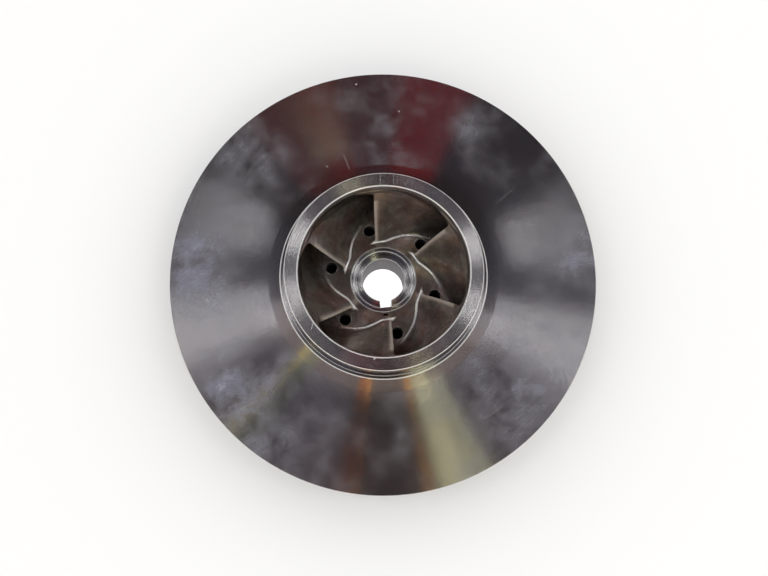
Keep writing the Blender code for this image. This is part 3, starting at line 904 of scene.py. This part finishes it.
def drill_mesh():
    """Six drills on the hole circle, each a capped cylinder."""
    work = bmesh.new()
    for k in range(VANE_COUNT):
        clock = HOLE_CLOCK + 2 * math.pi * k / VANE_COUNT
        shift = Matrix.Translation((HOLE_CIRCLE * math.sin(clock), HOLE_CIRCLE * math.cos(clock), HUB_Z / 2))
        bmesh.ops.create_cone(work, cap_ends=True, segments=DRILL_SIDES, radius1=HOLE_R, radius2=HOLE_R,
                              depth=2 * HUB_Z, matrix=shift)
    return as_mesh("drills", work)


def pit_mesh():
    """A hollow that a grain of sand left in the casting, just outside the seat."""
    work = bmesh.new()
    bmesh.ops.create_icosphere(work, subdivisions=3, radius=1.0,
                               matrix=Matrix.Translation(PIT_PLACE) @ Matrix.Diagonal((*PIT_SIZE, 1)))
    return as_mesh("pit", work)


half = KEYWAY_WIDTH / 2
keyway = box_mesh("keyway", (-half, 0, -HUB_Z), (half, KEYWAY_FLOOR, 2 * HUB_Z))
notch = box_mesh("tab_notch", (TOOL_GAP - half, BORE_R, HUB_Z - TAB_NOTCH_DEPTH),
                 (half - TOOL_GAP, TAB_NOTCH_REACH, 2 * HUB_Z))
for mesh in (keyway, notch):
    mesh.transform(Matrix.Rotation(-KEYWAY_CLOCK, 4, "Z"))
tools = [linked(mesh.name, mesh) for mesh in (keyway, notch, drill_mesh(), pit_mesh())]
print("tools:", *[tool.name for tool in tools])

# %% [markdown]
# ## Cutting the hub
# Boolean modifiers cut the way the workshop does: blank, then tool by tool. Drawing the cut mesh by
# hand would be far more work, since a drill leaves the hollow flange along a bent oval. The cut
# faces take the tool's finish, and the result is baked to a plain mesh, so that no modifier is left.

# %% Hub: broached, notched and drilled
def baked(item):
    """The item's evaluated mesh, with every modifier applied."""
    graph = bpy.context.evaluated_depsgraph_get()
    return bpy.data.meshes.new_from_object(item.evaluated_get(graph))


for tool in tools:
    tool.data.materials.append(pitted if tool.name == "pit" else faced)
    step = blank.modifiers.new(tool.name, "BOOLEAN")
    step.operation = "DIFFERENCE"
    step.solver = "EXACT"
    step.material_mode = "TRANSFER"
    step.object = tool
hub = finished("keyed_hub", baked(blank))
for item in [blank, *tools]:
    bpy.data.objects.remove(item, do_unlink=True)
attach(hub, "root")
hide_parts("hub")

# %% [markdown]
# ## One vane
# A vane is a surface that follows a rule. Two streamlines, one on the passage floor and one on the
# roof, start at the radial leading edge and wind backwards at a changing angle until both have
# gone the same way round, so that the outlet edge stands upright. Straight lines join them.

# %% Streamlines of the vane
EDGE_HUB_R = 20.6 * MM
EDGE_EYE_Z = 56 * MM
EDGE_LEAD = math.radians(3.6)  # the leading edge's end at the eye is this far ahead of its end at the hub
VANE_WRAP = math.radians(149.1)
HUB_INLET_ANGLE = math.radians(43)
EYE_INLET_ANGLE = math.radians(22)
OUTLET_ANGLE = math.radians(29)
RUN_IN = 0.06  # the tables start this share of the vane ahead of its leading edge
TABLE_ROWS = 1200
FLOOR_START = 0.4 * MM  # the floor curve starts this far outside the hub
ROOF_START = 6 * MM  # the roof curve starts this far above the leading edge


def streamline(curve, start, inlet_angle, lead):
    """Table of s, r, z and clock angle along a wall curve; s is 0 at the vane's start, 1 at the rim."""
    curve = np.array(curve)
    run = np.concatenate([[0], np.cumsum(np.hypot(*np.diff(curve, axis=0).T))])
    column = 0 if start[0] is not None else 1
    order = np.argsort(curve[:, column])
    first = np.interp(start[column], curve[order, column], run[order])
    s = np.linspace(-RUN_IN, 1, TABLE_ROWS)
    distance = first + s * (run[-1] - first)
    r = np.interp(distance, run, curve[:, 0])
    z = np.interp(distance, run, curve[:, 1])
    ease = np.clip(s, 0, 1) ** 2 * (3 - 2 * np.clip(s, 0, 1))
    angle = inlet_angle + (OUTLET_ANGLE - inlet_angle) * ease
    turning = np.gradient(distance) / (r * np.tan(angle))
    clock = np.cumsum(turning) - turning / 2
    clock -= np.interp(0, s, clock)
    return s, r, z, lead + clock * (VANE_WRAP - lead) / clock[-1]


hub_line = streamline(floor_curve(HUB_R + FLOOR_START), (EDGE_HUB_R, None), HUB_INLET_ANGLE, 0.0)
eye_line = streamline(roof_curve(EDGE_EYE_Z + ROOF_START), (None, EDGE_EYE_Z), EYE_INLET_ANGLE, EDGE_LEAD)
print("hub streamline %.0f to %.0f mm radius" % (1000 * hub_line[1][0], 1000 * hub_line[1][-1]))

# %% [markdown]
# ## The vane's directions
# To lay thickness off to both sides, and to know how steeply the vane meets a wall, its normal is
# needed everywhere. The surface is a formula, so its normal is the cross product of two small
# steps on it, which is simpler and smoother than reading normals back from a mesh.

# %% The vane's middle surface and its normals
STEP = 1e-3  # a small step in s or v, to find a direction


def on_vane(s, v):
    """Middle surface: radius, height and clock angle at s along the vane and v from floor to roof."""
    parts = []
    for column in (1, 2, 3):
        low = np.interp(s, hub_line[0], hub_line[column])
        high = np.interp(s, eye_line[0], eye_line[column])
        parts.append(low * (1 - v) + high * v)
    return parts


def to_space(r, z, clock):
    """Points from radius, height and clock angle."""
    return np.stack([r * np.sin(clock), r * np.cos(clock), z], axis=-1)


def unit(vectors):
    """The vectors at length 1."""
    return vectors / np.linalg.norm(vectors, axis=-1, keepdims=True)


def vane_frame(s, v):
    """Unit normal of the vane on its clockwise side, and its share along the clock direction."""
    along = to_space(*on_vane(s + STEP, v)) - to_space(*on_vane(s - STEP, v))
    across = to_space(*on_vane(s, v + STEP)) - to_space(*on_vane(s, v - STEP))
    normal = unit(np.cross(along, across))
    clock = on_vane(s, v)[2]
    onward = np.stack([np.cos(clock), -np.sin(clock), np.zeros_like(clock)], axis=-1)
    share = np.sum(normal * onward, axis=-1)
    return normal * np.sign(share)[..., None], np.abs(share)


def wall_normal(line, s, side):
    """Normal of a wall at s, pointing into the passage; side is 1 on the floor and -1 on the roof."""
    dr = np.interp(s + STEP, line[0], line[1]) - np.interp(s - STEP, line[0], line[1])
    dz = np.interp(s + STEP, line[0], line[2]) - np.interp(s - STEP, line[0], line[2])
    clock = np.interp(s, line[0], line[3])
    r = -side * dz
    return unit(np.stack([r * np.sin(clock), r * np.cos(clock), side * dr], axis=-1))


middle = np.array([0.5])
print("halfway out, the vane's normal turns with the clock by %.2f" % vane_frame(middle, middle)[1][0])

# %% [markdown]
# ## Thickness, nose and root fillets
# The thickness starts with a blunt rounded nose and swells into the body. Near the walls it grows
# by the exact profile of a casting fillet, because the fillet is what shines at the vane's roots.
# A Bevel modifier can't make it here, since the vane and its walls are separate bodies.

# %% Thickness and fillet
NOSE_THICKNESS = (2.8 * MM, 1.9 * MM)  # at the hub and at the eye
BODY_THICKNESS = 3.8 * MM
OUTLET_THICKNESS = 3.2 * MM
NOSE_LENGTH = 1.4 * MM
NOSE_BLUNTNESS = 0.65  # 1 for an elliptical nose, less for a blunter one
SWELL_LENGTH = 25 * MM
STEEPEST = 0.97  # cosine of the sharpest angle between vane and wall that a fillet can fill


def fillet(depth, radius, lean):
    """How far a fillet stands out from a face at a distance from the wall; lean is cos of their angle."""
    angle = np.arccos(np.clip(lean, -STEEPEST, STEEPEST))
    reach = radius / np.tan(angle / 2)
    y = np.clip(depth, 0, None)
    bow = reach - np.sqrt(np.clip(radius ** 2 - (radius - y) ** 2, 0, None)) - y / np.tan(angle)
    return np.where(y < reach * np.sin(angle), np.clip(bow, 0, None), 0)


def half_thickness(run, s, v):
    """Half the vane's thickness, at a distance run behind its nose."""
    swell = np.clip((run - NOSE_LENGTH) / SWELL_LENGTH, 0, 1)
    nose = NOSE_THICKNESS[0] + (NOSE_THICKNESS[1] - NOSE_THICKNESS[0]) * np.clip(v, 0, 1)
    body = nose + (BODY_THICKNESS - nose) * swell * (2 - swell)
    taper = 1 - (1 - OUTLET_THICKNESS / BODY_THICKNESS) * np.clip(s, 0, 1) ** 2
    return body * taper / 2


print("halfway out, the vane is %.1f mm thick" % (2000 * half_thickness(0.5, middle, middle)[0]))

# %% [markdown]
# ## One row round the vane
# The mesh is a stack of rows, each running from the outlet edge round the nose and back. The rows
# lie close together near the walls, where the fillet bends, and far apart between them. Behind
# the nose the fillets widen, because the photograph shows a broader hollow there.

# %% One row round the vane
FLOOR_FILLET = 2.4 * MM
UNDER_FILLET = 1.6 * MM
NOSE_FILLET = 1.8 * MM
FILLET_GROWTH = (0.07, 0.2, 2.4)  # from one share of the vane to another the fillets widen by this factor
WALL_STEPS = np.array([-0.3, 0, 0.06, 0.16, 0.3, 0.5, 0.8, 1.2, 1.8, 2.6, 3.6, 5.0]) * MM
MIDDLE_ROWS = 9
NOSE_STEPS = 9
BODY_STEPS = 84
BODY_CROWDING = 1.35  # above 1, the steps lie closer together near the nose


def height_share(s, wall, depth, v_even):
    """v along a row: at a depth from one wall, or an even share of what lies between the walls."""
    span = np.linalg.norm(to_space(*on_vane(s, 1.0)) - to_space(*on_vane(s, 0.0)), axis=-1)
    plan = np.hypot(np.interp(s, hub_line[0], hub_line[1]) - np.interp(s, eye_line[0], eye_line[1]),
                    np.interp(s, hub_line[0], hub_line[2]) - np.interp(s, eye_line[0], eye_line[2]))
    span = np.minimum(span, plan)
    inner = WALL_STEPS[-1] / span
    if wall == "floor":
        return depth / span
    if wall == "roof":
        return 1 - depth / span
    return inner + (1 - 2 * inner) * v_even


def vane_row(wall, depth, v_even):
    """Both sides of the vane along one row, from outlet edge round the nose to outlet edge."""
    start = np.array([0.0])
    v = height_share(start, wall, depth, v_even)
    pace = np.linalg.norm(to_space(*on_vane(start + STEP, v)) - to_space(*on_vane(start, v))) / STEP
    ahead = 0.0
    if wall:
        y = max(0.0, min(depth, NOSE_FILLET))
        ahead = NOSE_FILLET - math.sqrt(NOSE_FILLET ** 2 - (NOSE_FILLET - y) ** 2)
    theta = np.linspace(0, math.pi / 2, NOSE_STEPS)
    nose = NOSE_LENGTH - (NOSE_LENGTH + ahead) * np.cos(theta)
    body_s = NOSE_LENGTH / pace + (1 - NOSE_LENGTH / pace) * np.linspace(0, 1, BODY_STEPS) ** BODY_CROWDING
    s = np.concatenate([nose[:-1] / pace, body_s])
    rise = np.concatenate([np.sin(theta[:-1]) ** NOSE_BLUNTNESS, np.ones(BODY_STEPS)])
    v = height_share(s, wall, depth, v_even)
    r, z, clock = on_vane(s, v)
    base = half_thickness(s * pace, s, v) / vane_frame(s, v)[1]
    sides = []
    for side in (-1, 1):
        flare = 0.0
        if wall:
            line, facing, edge = (hub_line, 1, 0.0) if wall == "floor" else (eye_line, -1, 1.0)
            normal, wall_share = vane_frame(s, np.full_like(s, edge))
            lean = np.sum(normal * wall_normal(line, s, facing), axis=-1)
            widen_from, widen_to, factor = FILLET_GROWTH
            widened = 1 + (factor - 1) * np.clip((s - widen_from) / (widen_to - widen_from), 0, 1)
            radius = np.where(side * lean > 0, FLOOR_FILLET * widened, UNDER_FILLET)
            flare = fillet(depth, radius, -side * lean) * np.sqrt(1 - lean ** 2) / wall_share
        offset = side * (base + flare) * rise / r
        sides.append(to_space(r, z, clock + VANE_CLOCK + offset))
    return np.concatenate([sides[0][::-1], sides[1][1:]]), s, theta


row = vane_row("floor", 1 * MM, 0)[0]
print("one row round the vane: %d points" % len(row))

# %% [markdown]
# ## Where the vane has painted highlights
# The light edge along the front side of each nose and the white line along the first stretch of each
# root are painted highlights; the root is also made less rough. Painting them in a texture would need a
# map of the surface. The mesh is built row by row, so each point knows where it is, and the two places
# are stored as soft masks in the mesh's own attributes.

# %% The vane's mesh
NOSE_HIGHLIGHT_ANGLES = ([0, 0.2, 0.98, 1.2], [0.3, 1, 1, 0])  # angle round the nose, and how strong its painted highlight is
ROOT_REACH = ([0, 0.045, 0.13], [1, 1, 0])  # share of the vane, and how smooth and how strongly highlighted its root is
ROOT_DEPTH = ([0.06 * MM, 0.16 * MM, 0.5 * MM, 0.8 * MM], [0, 1, 1, 0])


def row_with_highlights(wall, depth, v_even):
    """A row's points, and how strong the painted highlights on its nose and its root are at each."""
    places, s, theta = vane_row(wall, depth, v_even)
    nose_highlight = np.interp(theta[::-1], *NOSE_HIGHLIGHT_ANGLES)
    nose_highlight = np.concatenate([np.zeros(BODY_STEPS - 1), nose_highlight, np.zeros(NOSE_STEPS + BODY_STEPS - 2)])
    smooth = np.interp(s, *ROOT_REACH) * np.interp(depth, *ROOT_DEPTH) * (wall == "floor")
    return places, nose_highlight * (wall != "roof"), np.concatenate([smooth[::-1], smooth[1:]])


def vane_mesh(name):
    """The vane from floor to roof, closed at both and at the outlet."""
    rows = [row_with_highlights("floor", depth, 0) for depth in WALL_STEPS]
    rows += [row_with_highlights("", 0, v) for v in np.linspace(0, 1, MIDDLE_ROWS + 2)[1:-1]]
    rows += [row_with_highlights("roof", depth, 0) for depth in WALL_STEPS[::-1]]
    places, nose_highlight, smooth = [np.array(part) for part in zip(*rows)]
    count, across = places.shape[:2]
    faces = []
    for j in range(count - 1):
        for i in range(across - 1):
            faces.append((j * across + i, j * across + i + 1, (j + 1) * across + i + 1, (j + 1) * across + i))
        faces.append((j * across + across - 1, j * across, (j + 1) * across, (j + 1) * across + across - 1))
    for j in (0, count - 1):
        for i in range(across // 2):
            strip = [j * across + k for k in (i, i + 1, across - 2 - i, across - 1 - i)]
            faces.append(tuple(dict.fromkeys(strip)))
    mesh = bpy.data.meshes.new(name)
    mesh.from_pydata(places.reshape(-1, 3).tolist(), [], faces)
    for key, values in (("nose_painted_highlight", nose_highlight), ("smooth_root_highlight", smooth)):
        mesh.attributes.new(key, "FLOAT", "POINT").data.foreach_set("value", values.reshape(-1).tolist())
    mesh.materials.append(vane_cast)
    return mesh


single_vane = finished("single_vane", vane_mesh("single_vane"))

# %% [markdown]
# ## Six vanes by Geometry Nodes
# The vanes repeat evenly round the axis, which is a job for instances: a line of six points at the
# origin, one instance of the vane on each, turned by the point's index times a sixth of a turn. The
# instances are realized, because only real faces can be exported, and baked to a plain mesh.

# %% Vanes round the hub
def ring_tree():
    """Geometry Nodes: the incoming mesh, repeated evenly about the Z axis."""
    tree = bpy.data.node_groups.new("ring_of_vanes", "GeometryNodeTree")
    for name, way, kind in (("Geometry", "INPUT", "Geometry"), ("Vane Count", "INPUT", "Int"),
                            ("Vane Finish", "INPUT", "Material"), ("Geometry", "OUTPUT", "Geometry")):
        tree.interface.new_socket(name, in_out=way, socket_type="NodeSocket" + kind)
    given = add(tree, "NodeGroupInput").outputs
    points = add(tree, "GeometryNodeMeshLine", {"mode": "OFFSET"},
                 {"Count": given["Vane Count"], "Offset": (0, 0, 0)})
    turned_by = add(tree, MATHS, "MULTIPLY", {0: add(tree, "GeometryNodeInputIndex"), 1: -2 * math.pi})
    share = add(tree, MATHS, "DIVIDE", {0: turned_by, 1: given["Vane Count"]})
    placed = add(tree, "GeometryNodeInstanceOnPoints", None,
                 {"Points": points, "Instance": given["Geometry"],
                  "Rotation": add(tree, "ShaderNodeCombineXYZ", None, {"Z": share})})
    real = add(tree, "GeometryNodeRealizeInstances", None, {"Geometry": placed})
    coated = add(tree, "GeometryNodeSetMaterial", None, {"Geometry": real, "Material": given["Vane Finish"]})
    add(tree, "NodeGroupOutput", None, {0: coated})
    return tree


def with_nodes(item, tree, values):
    """Puts the tree on the item, sets its named inputs, and returns the result as a plain mesh."""
    step = item.modifiers.new(tree.name, "NODES")
    step.node_group = tree
    for socket in tree.interface.items_tree:
        if socket.in_out == "INPUT" and socket.name in values:
            step[socket.identifier] = values[socket.name]
    mesh = baked(item)
    item.modifiers.remove(step)
    return mesh


ring_mesh = with_nodes(single_vane, ring_tree(), {"Vane Count": VANE_COUNT, "Vane Finish": vane_cast})
bpy.data.objects.remove(single_vane, do_unlink=True)
vanes = finished("ring_of_vanes", ring_mesh)
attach(vanes, "root")
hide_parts(*["vane_%d" % (k + 1) for k in range(VANE_COUNT)])

# %% [markdown]
# ## Floor
# The impeller lies on white paper. A plain matt slab does for it: its top is at height nought, and
# it is far larger than the picture, so that no edge shows and the shadow runs out softly.

# %% Floor
FLOOR_REACH = 3.0
FLOOR_DEPTH = 0.05

# Matt white paper: it takes a soft shadow and shows no reflection.
paper, _, _ = new_material("pale_studio_floor", {"Base Color": srgb("#F4F4F4"), "Roughness": 0.9})
slab = box_mesh("floor", (-FLOOR_REACH, -FLOOR_REACH, -FLOOR_DEPTH), (FLOOR_REACH, FLOOR_REACH, 0))
slab.materials.append(paper)
linked("studio_floor", slab)
print("floor %.0f m wide" % (2 * FLOOR_REACH))

# %% [markdown]
# ## What lies beyond the white paper
# A steep face near the floor mirrors what lies around it, and white paper without an end would
# turn it white. The real paper ends, and a darker table begins. A ring of table does the same here.
# Only the steel's reflections see it: it is hidden from the camera and casts no shadow.

# %% The table round the paper
SHEET_R = 0.3
TABLE_SIDES = 64
TABLE_HEIGHT = 0.3 * MM


def far_table():
    """A dark table round the sheet, beige on the camera's side."""
    work = bmesh.new()
    bmesh.ops.create_circle(work, segments=TABLE_SIDES, radius=SHEET_R)
    rim = bmesh.ops.extrude_edge_only(work, edges=work.edges[:])["geom"]
    for vertex in [v for v in rim if isinstance(v, bmesh.types.BMVert)]:
        vertex.co *= FLOOR_REACH / SHEET_R
    mesh = as_mesh("far_table", work)
    # A matt table top, which gives the steepest faces something darker than paper to mirror.
    material, tree, shader = new_material("table_top", {"Roughness": 0.8})
    place = add(tree, "ShaderNodeTexCoord").outputs["Object"]
    parts = add(tree, "ShaderNodeSeparateXYZ", None, {0: place}).outputs
    near = add(tree, RANGE, None, {"Value": parts["Y"], "From Min": 0.1, "From Max": -0.35})
    feed(tree, shader, {"Base Color": laid_over(tree, srgb("#2E2826"), [(near, srgb("#B39A8A"))])})
    mesh.materials.append(material)
    item = linked("far_table", mesh)
    item.location.z = TABLE_HEIGHT
    item.visible_camera = item.visible_diffuse = item.visible_shadow = False
    return item


table = far_table()
print("table from %.1f m outwards" % SHEET_R)

# %% [markdown]
# ## Lights
# A polished turned face is mostly what it mirrors. Two softboxes, one at each side, make the two
# widest bright wedges, and a small pale yellow card makes the one below the neck. What decides
# where a wedge lies is the light's clock angle; how far it reaches along the radius depends on how
# far off the axis the light stands, and 23 degrees gives the whole cone. A wedge is as many degrees
# wide as its light, so each light is cut into three strips, each wider the further off the axis.

# %% Lights
LIGHT_CENTRE = Vector((0, 0, 0.04))
LIGHT_DISTANCE = 1.6
EYE_SHIFT = Vector((eye_point.x, eye_point.y, 0)) / eye_point.z  # how far off the axis the camera is
STRIPS = 3


def softbox(name, wedge, spread, low, high, radiance, colour=(1, 1, 1)):
    """A soft light that the grooves mirror as a wedge at this clock angle.

    spread is the wedge's width, and low and high are off-axis angles, all in degrees.
    """
    half = math.tan(math.radians(spread) / 2)
    ray = Vector((math.sin(math.radians(wedge)), math.cos(math.radians(wedge)), 0))
    side = Vector((ray.y, -ray.x, 0))
    rows = np.linspace(low, high, STRIPS + 1)
    for k in range(STRIPS):
        off_axis = math.radians((rows[k] + rows[k + 1]) / 2)
        # The light's own direction, so that it and the camera's direction together lie along the wedge.
        reach = math.sqrt(math.sin(off_axis) ** 2 - EYE_SHIFT.dot(side) ** 2)
        flat = ray * reach - EYE_SHIFT
        away = Vector((flat.x, flat.y, math.sqrt(1 - flat.length_squared)))
        across = side.cross(away).normalized()
        item = linked("%s_%d" % (name, k + 1), bpy.data.lights.new("%s_%d" % (name, k + 1), "AREA"))
        item.visible_camera = False
        item.data.shape = "RECTANGLE"
        item.data.size = 2 * LIGHT_DISTANCE * reach * half
        item.data.size_y = LIGHT_DISTANCE * math.radians(high - low) / STRIPS
        item.data.energy = radiance * math.pi * item.data.size * item.data.size_y
        item.data.color = colour
        front = across.cross(side).normalized()
        if front.dot(away) < 0:
            across, front = -across, -front
        turning = Matrix((side, across, front)).transposed().to_4x4()
        item.matrix_world = Matrix.Translation(LIGHT_CENTRE + away * LIGHT_DISTANCE) @ turning


softbox("right_softbox", 109.5, 20.5, 16, 30, 3.6)
softbox("left_softbox", 256, 21, 16, 30, 3.6)
softbox("pale_yellow_card", 157, 14, 35, 50, 2.4, (1, 1, 0.6))
print("%d lights" % len(bpy.data.lights))

# %% [markdown]
# ## What shows through the hub
# White shows through the bore and the keyway, and black through the balance holes. The paper under
# the hub lies in its shadow, so a glowing disc stands in for lit paper behind the bore, and a black
# ring under the holes is painted shade, deeper than the shadow there. Both are as small as they can
# be, so that nothing else sees them.

# %% Lit paper and black felt
SHEET_POINTS = 64
SHEET_HEIGHT = 0.2 * MM


def ring_sheet(name, inner, outer, colour, glow):
    """A flat ring on the floor under the hub, with its own light."""
    points = []
    for radius in (inner, outer):
        for k in range(SHEET_POINTS):
            angle = 2 * math.pi * k / SHEET_POINTS
            points.append((radius * math.cos(angle), radius * math.sin(angle), SHEET_HEIGHT))
    faces = []
    for k in range(SHEET_POINTS):
        after = (k + 1) % SHEET_POINTS
        faces.append((k, after, SHEET_POINTS + after, SHEET_POINTS + k))
    mesh = bpy.data.meshes.new(name)
    mesh.from_pydata(points, [], faces)
    material, _, _ = new_material(name, {"Base Color": srgb(colour), "Roughness": 1.0,
                                         "Emission Color": srgb(colour), "Emission Strength": glow})
    mesh.materials.append(material)
    return linked(name, mesh)


# Glowing white paper shows the bore and the keyway as a clean white shape.
ring_sheet("lit_paper_under_bore", 0.01 * MM, 16 * MM, "#FFFFFF", 1.0)
# A black ring of painted shade under the balance holes, so that they look deep.
ring_sheet("painted_shade_under_holes", 16.2 * MM, 40 * MM, "#0A0A0C", 0.0)
print("a lit disc under the bore, and felt under the balance holes")

# %% [markdown]
# ## Room
# Between the bright wedges the steel is as dark as the room it mirrors, with patches of red, brown
# and yellow. Modelled furniture would do, but it would have to be found by trial; a patch in the
# world's background needs only the clock angle of its reflection, and the off-axis angles that
# choose the radii at which it shows.

# %% What the steel mirrors
ROOM = {  # clock, spread, off-axis from and to, softness, all in degrees, then colour and strength
    "left wall of the tent": (252, 104, -12, 80, 28, "#5C5B66", 1.0),
    "right wall of the tent": (106, 92, -12, 80, 28, "#52515C", 1.0),
    "brown curtain": (333, 14, 44, 66, 5, "#8C3A34", 1.0),
    "rust curtain": (345, 11, 45, 65, 4, "#A42E28", 1.1),
    "plum curtain": (357, 15, 46, 64, 5, "#803444", 1.0),
    "red curtain": (13, 18, 46, 64, 5, "#C0181E", 1.2),
    "foot of the right softbox": (109.5, 19, 62, 98, 4, "#D0CCD0", 1.0),
    "foot of the left softbox": (256, 19, 62, 98, 4, "#BAB4BA", 1.0),
    "pale yellow wall": (157, 14, 4, 16, 4, "#665E4C", 1.0),
    "table edge by the camera": (186, 150, 78, 98, 14, "#E0CCC0", 1.1),
    "orange strap": (188.3, 2.4, 75, 96, 1.5, "#FFB050", 3.2),
    "brown strap": (191.6, 2.4, 75, 96, 1.5, "#E07A30", 2.4),
    "yellow cord": (193.6, 1.0, 68, 96, 1, "#F0A860", 1.3),
    "amber lamp": (165, 4, 58, 92, 2, "#FFB870", 1.2),
    "bright edge of the card": (158, 10, 58, 66, 4, "#F0ECB0", 3.6),
    "green bottle": (226, 7, 63, 73, 2, "#7C9A50", 2.0),
    "yellow label": (232, 5, 63, 72, 2, "#F0E060", 3.0),
}


def window(tree, way, clock, spread, low, high, soft):
    """1 inside a patch of the room, given by clock and off-axis angles in degrees, and 0 outside it."""
    parts = add(tree, "ShaderNodeSeparateXYZ", None, {0: way}).outputs
    heading = add(tree, MATHS, "ARCTAN2", {0: parts["X"], 1: parts["Y"]})
    apart = add(tree, MATHS, "SUBTRACT", {0: heading, 1: math.radians(clock)})
    apart = add(tree, MATHS, "WRAP", {0: apart, 1: -math.pi, 2: math.pi})
    apart = add(tree, MATHS, "ABSOLUTE", {0: apart})
    off_axis = add(tree, MATHS, "ARCCOSINE", {0: parts["Z"]})
    inside = 1.0
    for value, edge, way_in in ((apart, spread / 2, -1), (off_axis, low, 1), (off_axis, high, -1)):
        step = add(tree, RANGE, {"interpolation_type": "SMOOTHSTEP"},
                   {"Value": value, "From Min": math.radians(edge - way_in * soft / 2),
                    "From Max": math.radians(edge + way_in * soft / 2)})
        inside = add(tree, MATHS, "MULTIPLY", {0: inside, 1: step})
    return inside


print("room with %d patches" % len(ROOM))

# %% [markdown]
# ## Three rooms in one
# The camera should see a pale room, the matt floor should be lit by a white one, and only the steel
# should mirror the dim one with its patches. The Light Path node says what kind of ray is asking,
# which needs one world instead of three layers of scenes.

# %% The world's background
FLOOR_LIGHT = 1.07  # the strength that shows the floor as nearly white


def room(seen_colour, matt_colour, ceiling):
    """A pale room for the camera, bright for the matt floor, and dim in the steel's reflections."""
    world = bpy.data.worlds.new("room")
    bpy.context.scene.world = world
    world.use_nodes = True
    tree = world.node_tree
    tree.nodes.clear()
    way = add(tree, "ShaderNodeTexCoord").outputs["Generated"]
    patches = [(window(tree, way, *angles), [c * strength for c in srgb(code)])
               for *angles, code, strength in ROOM.values()]
    seen = add(tree, "ShaderNodeBackground", None, {"Color": srgb(seen_colour)})
    matt = add(tree, "ShaderNodeBackground", None, {"Color": srgb(matt_colour), "Strength": FLOOR_LIGHT})
    dim = add(tree, "ShaderNodeBackground", None, {"Color": laid_over(tree, srgb(ceiling), patches)})
    ray = add(tree, "ShaderNodeLightPath").outputs
    unseen = add(tree, "ShaderNodeMixShader", None, {0: ray["Is Diffuse Ray"], 1: dim, 2: matt})
    whole = add(tree, "ShaderNodeMixShader", None, {0: ray["Is Camera Ray"], 1: unseen, 2: seen})
    add(tree, "ShaderNodeOutputWorld", None, {"Surface": whole})


room("#F8F8F8", "#FFFFFF", "#302C2E")
bpy.context.scene.view_settings.view_transform = "Standard"
print("world:", bpy.context.scene.world.name)
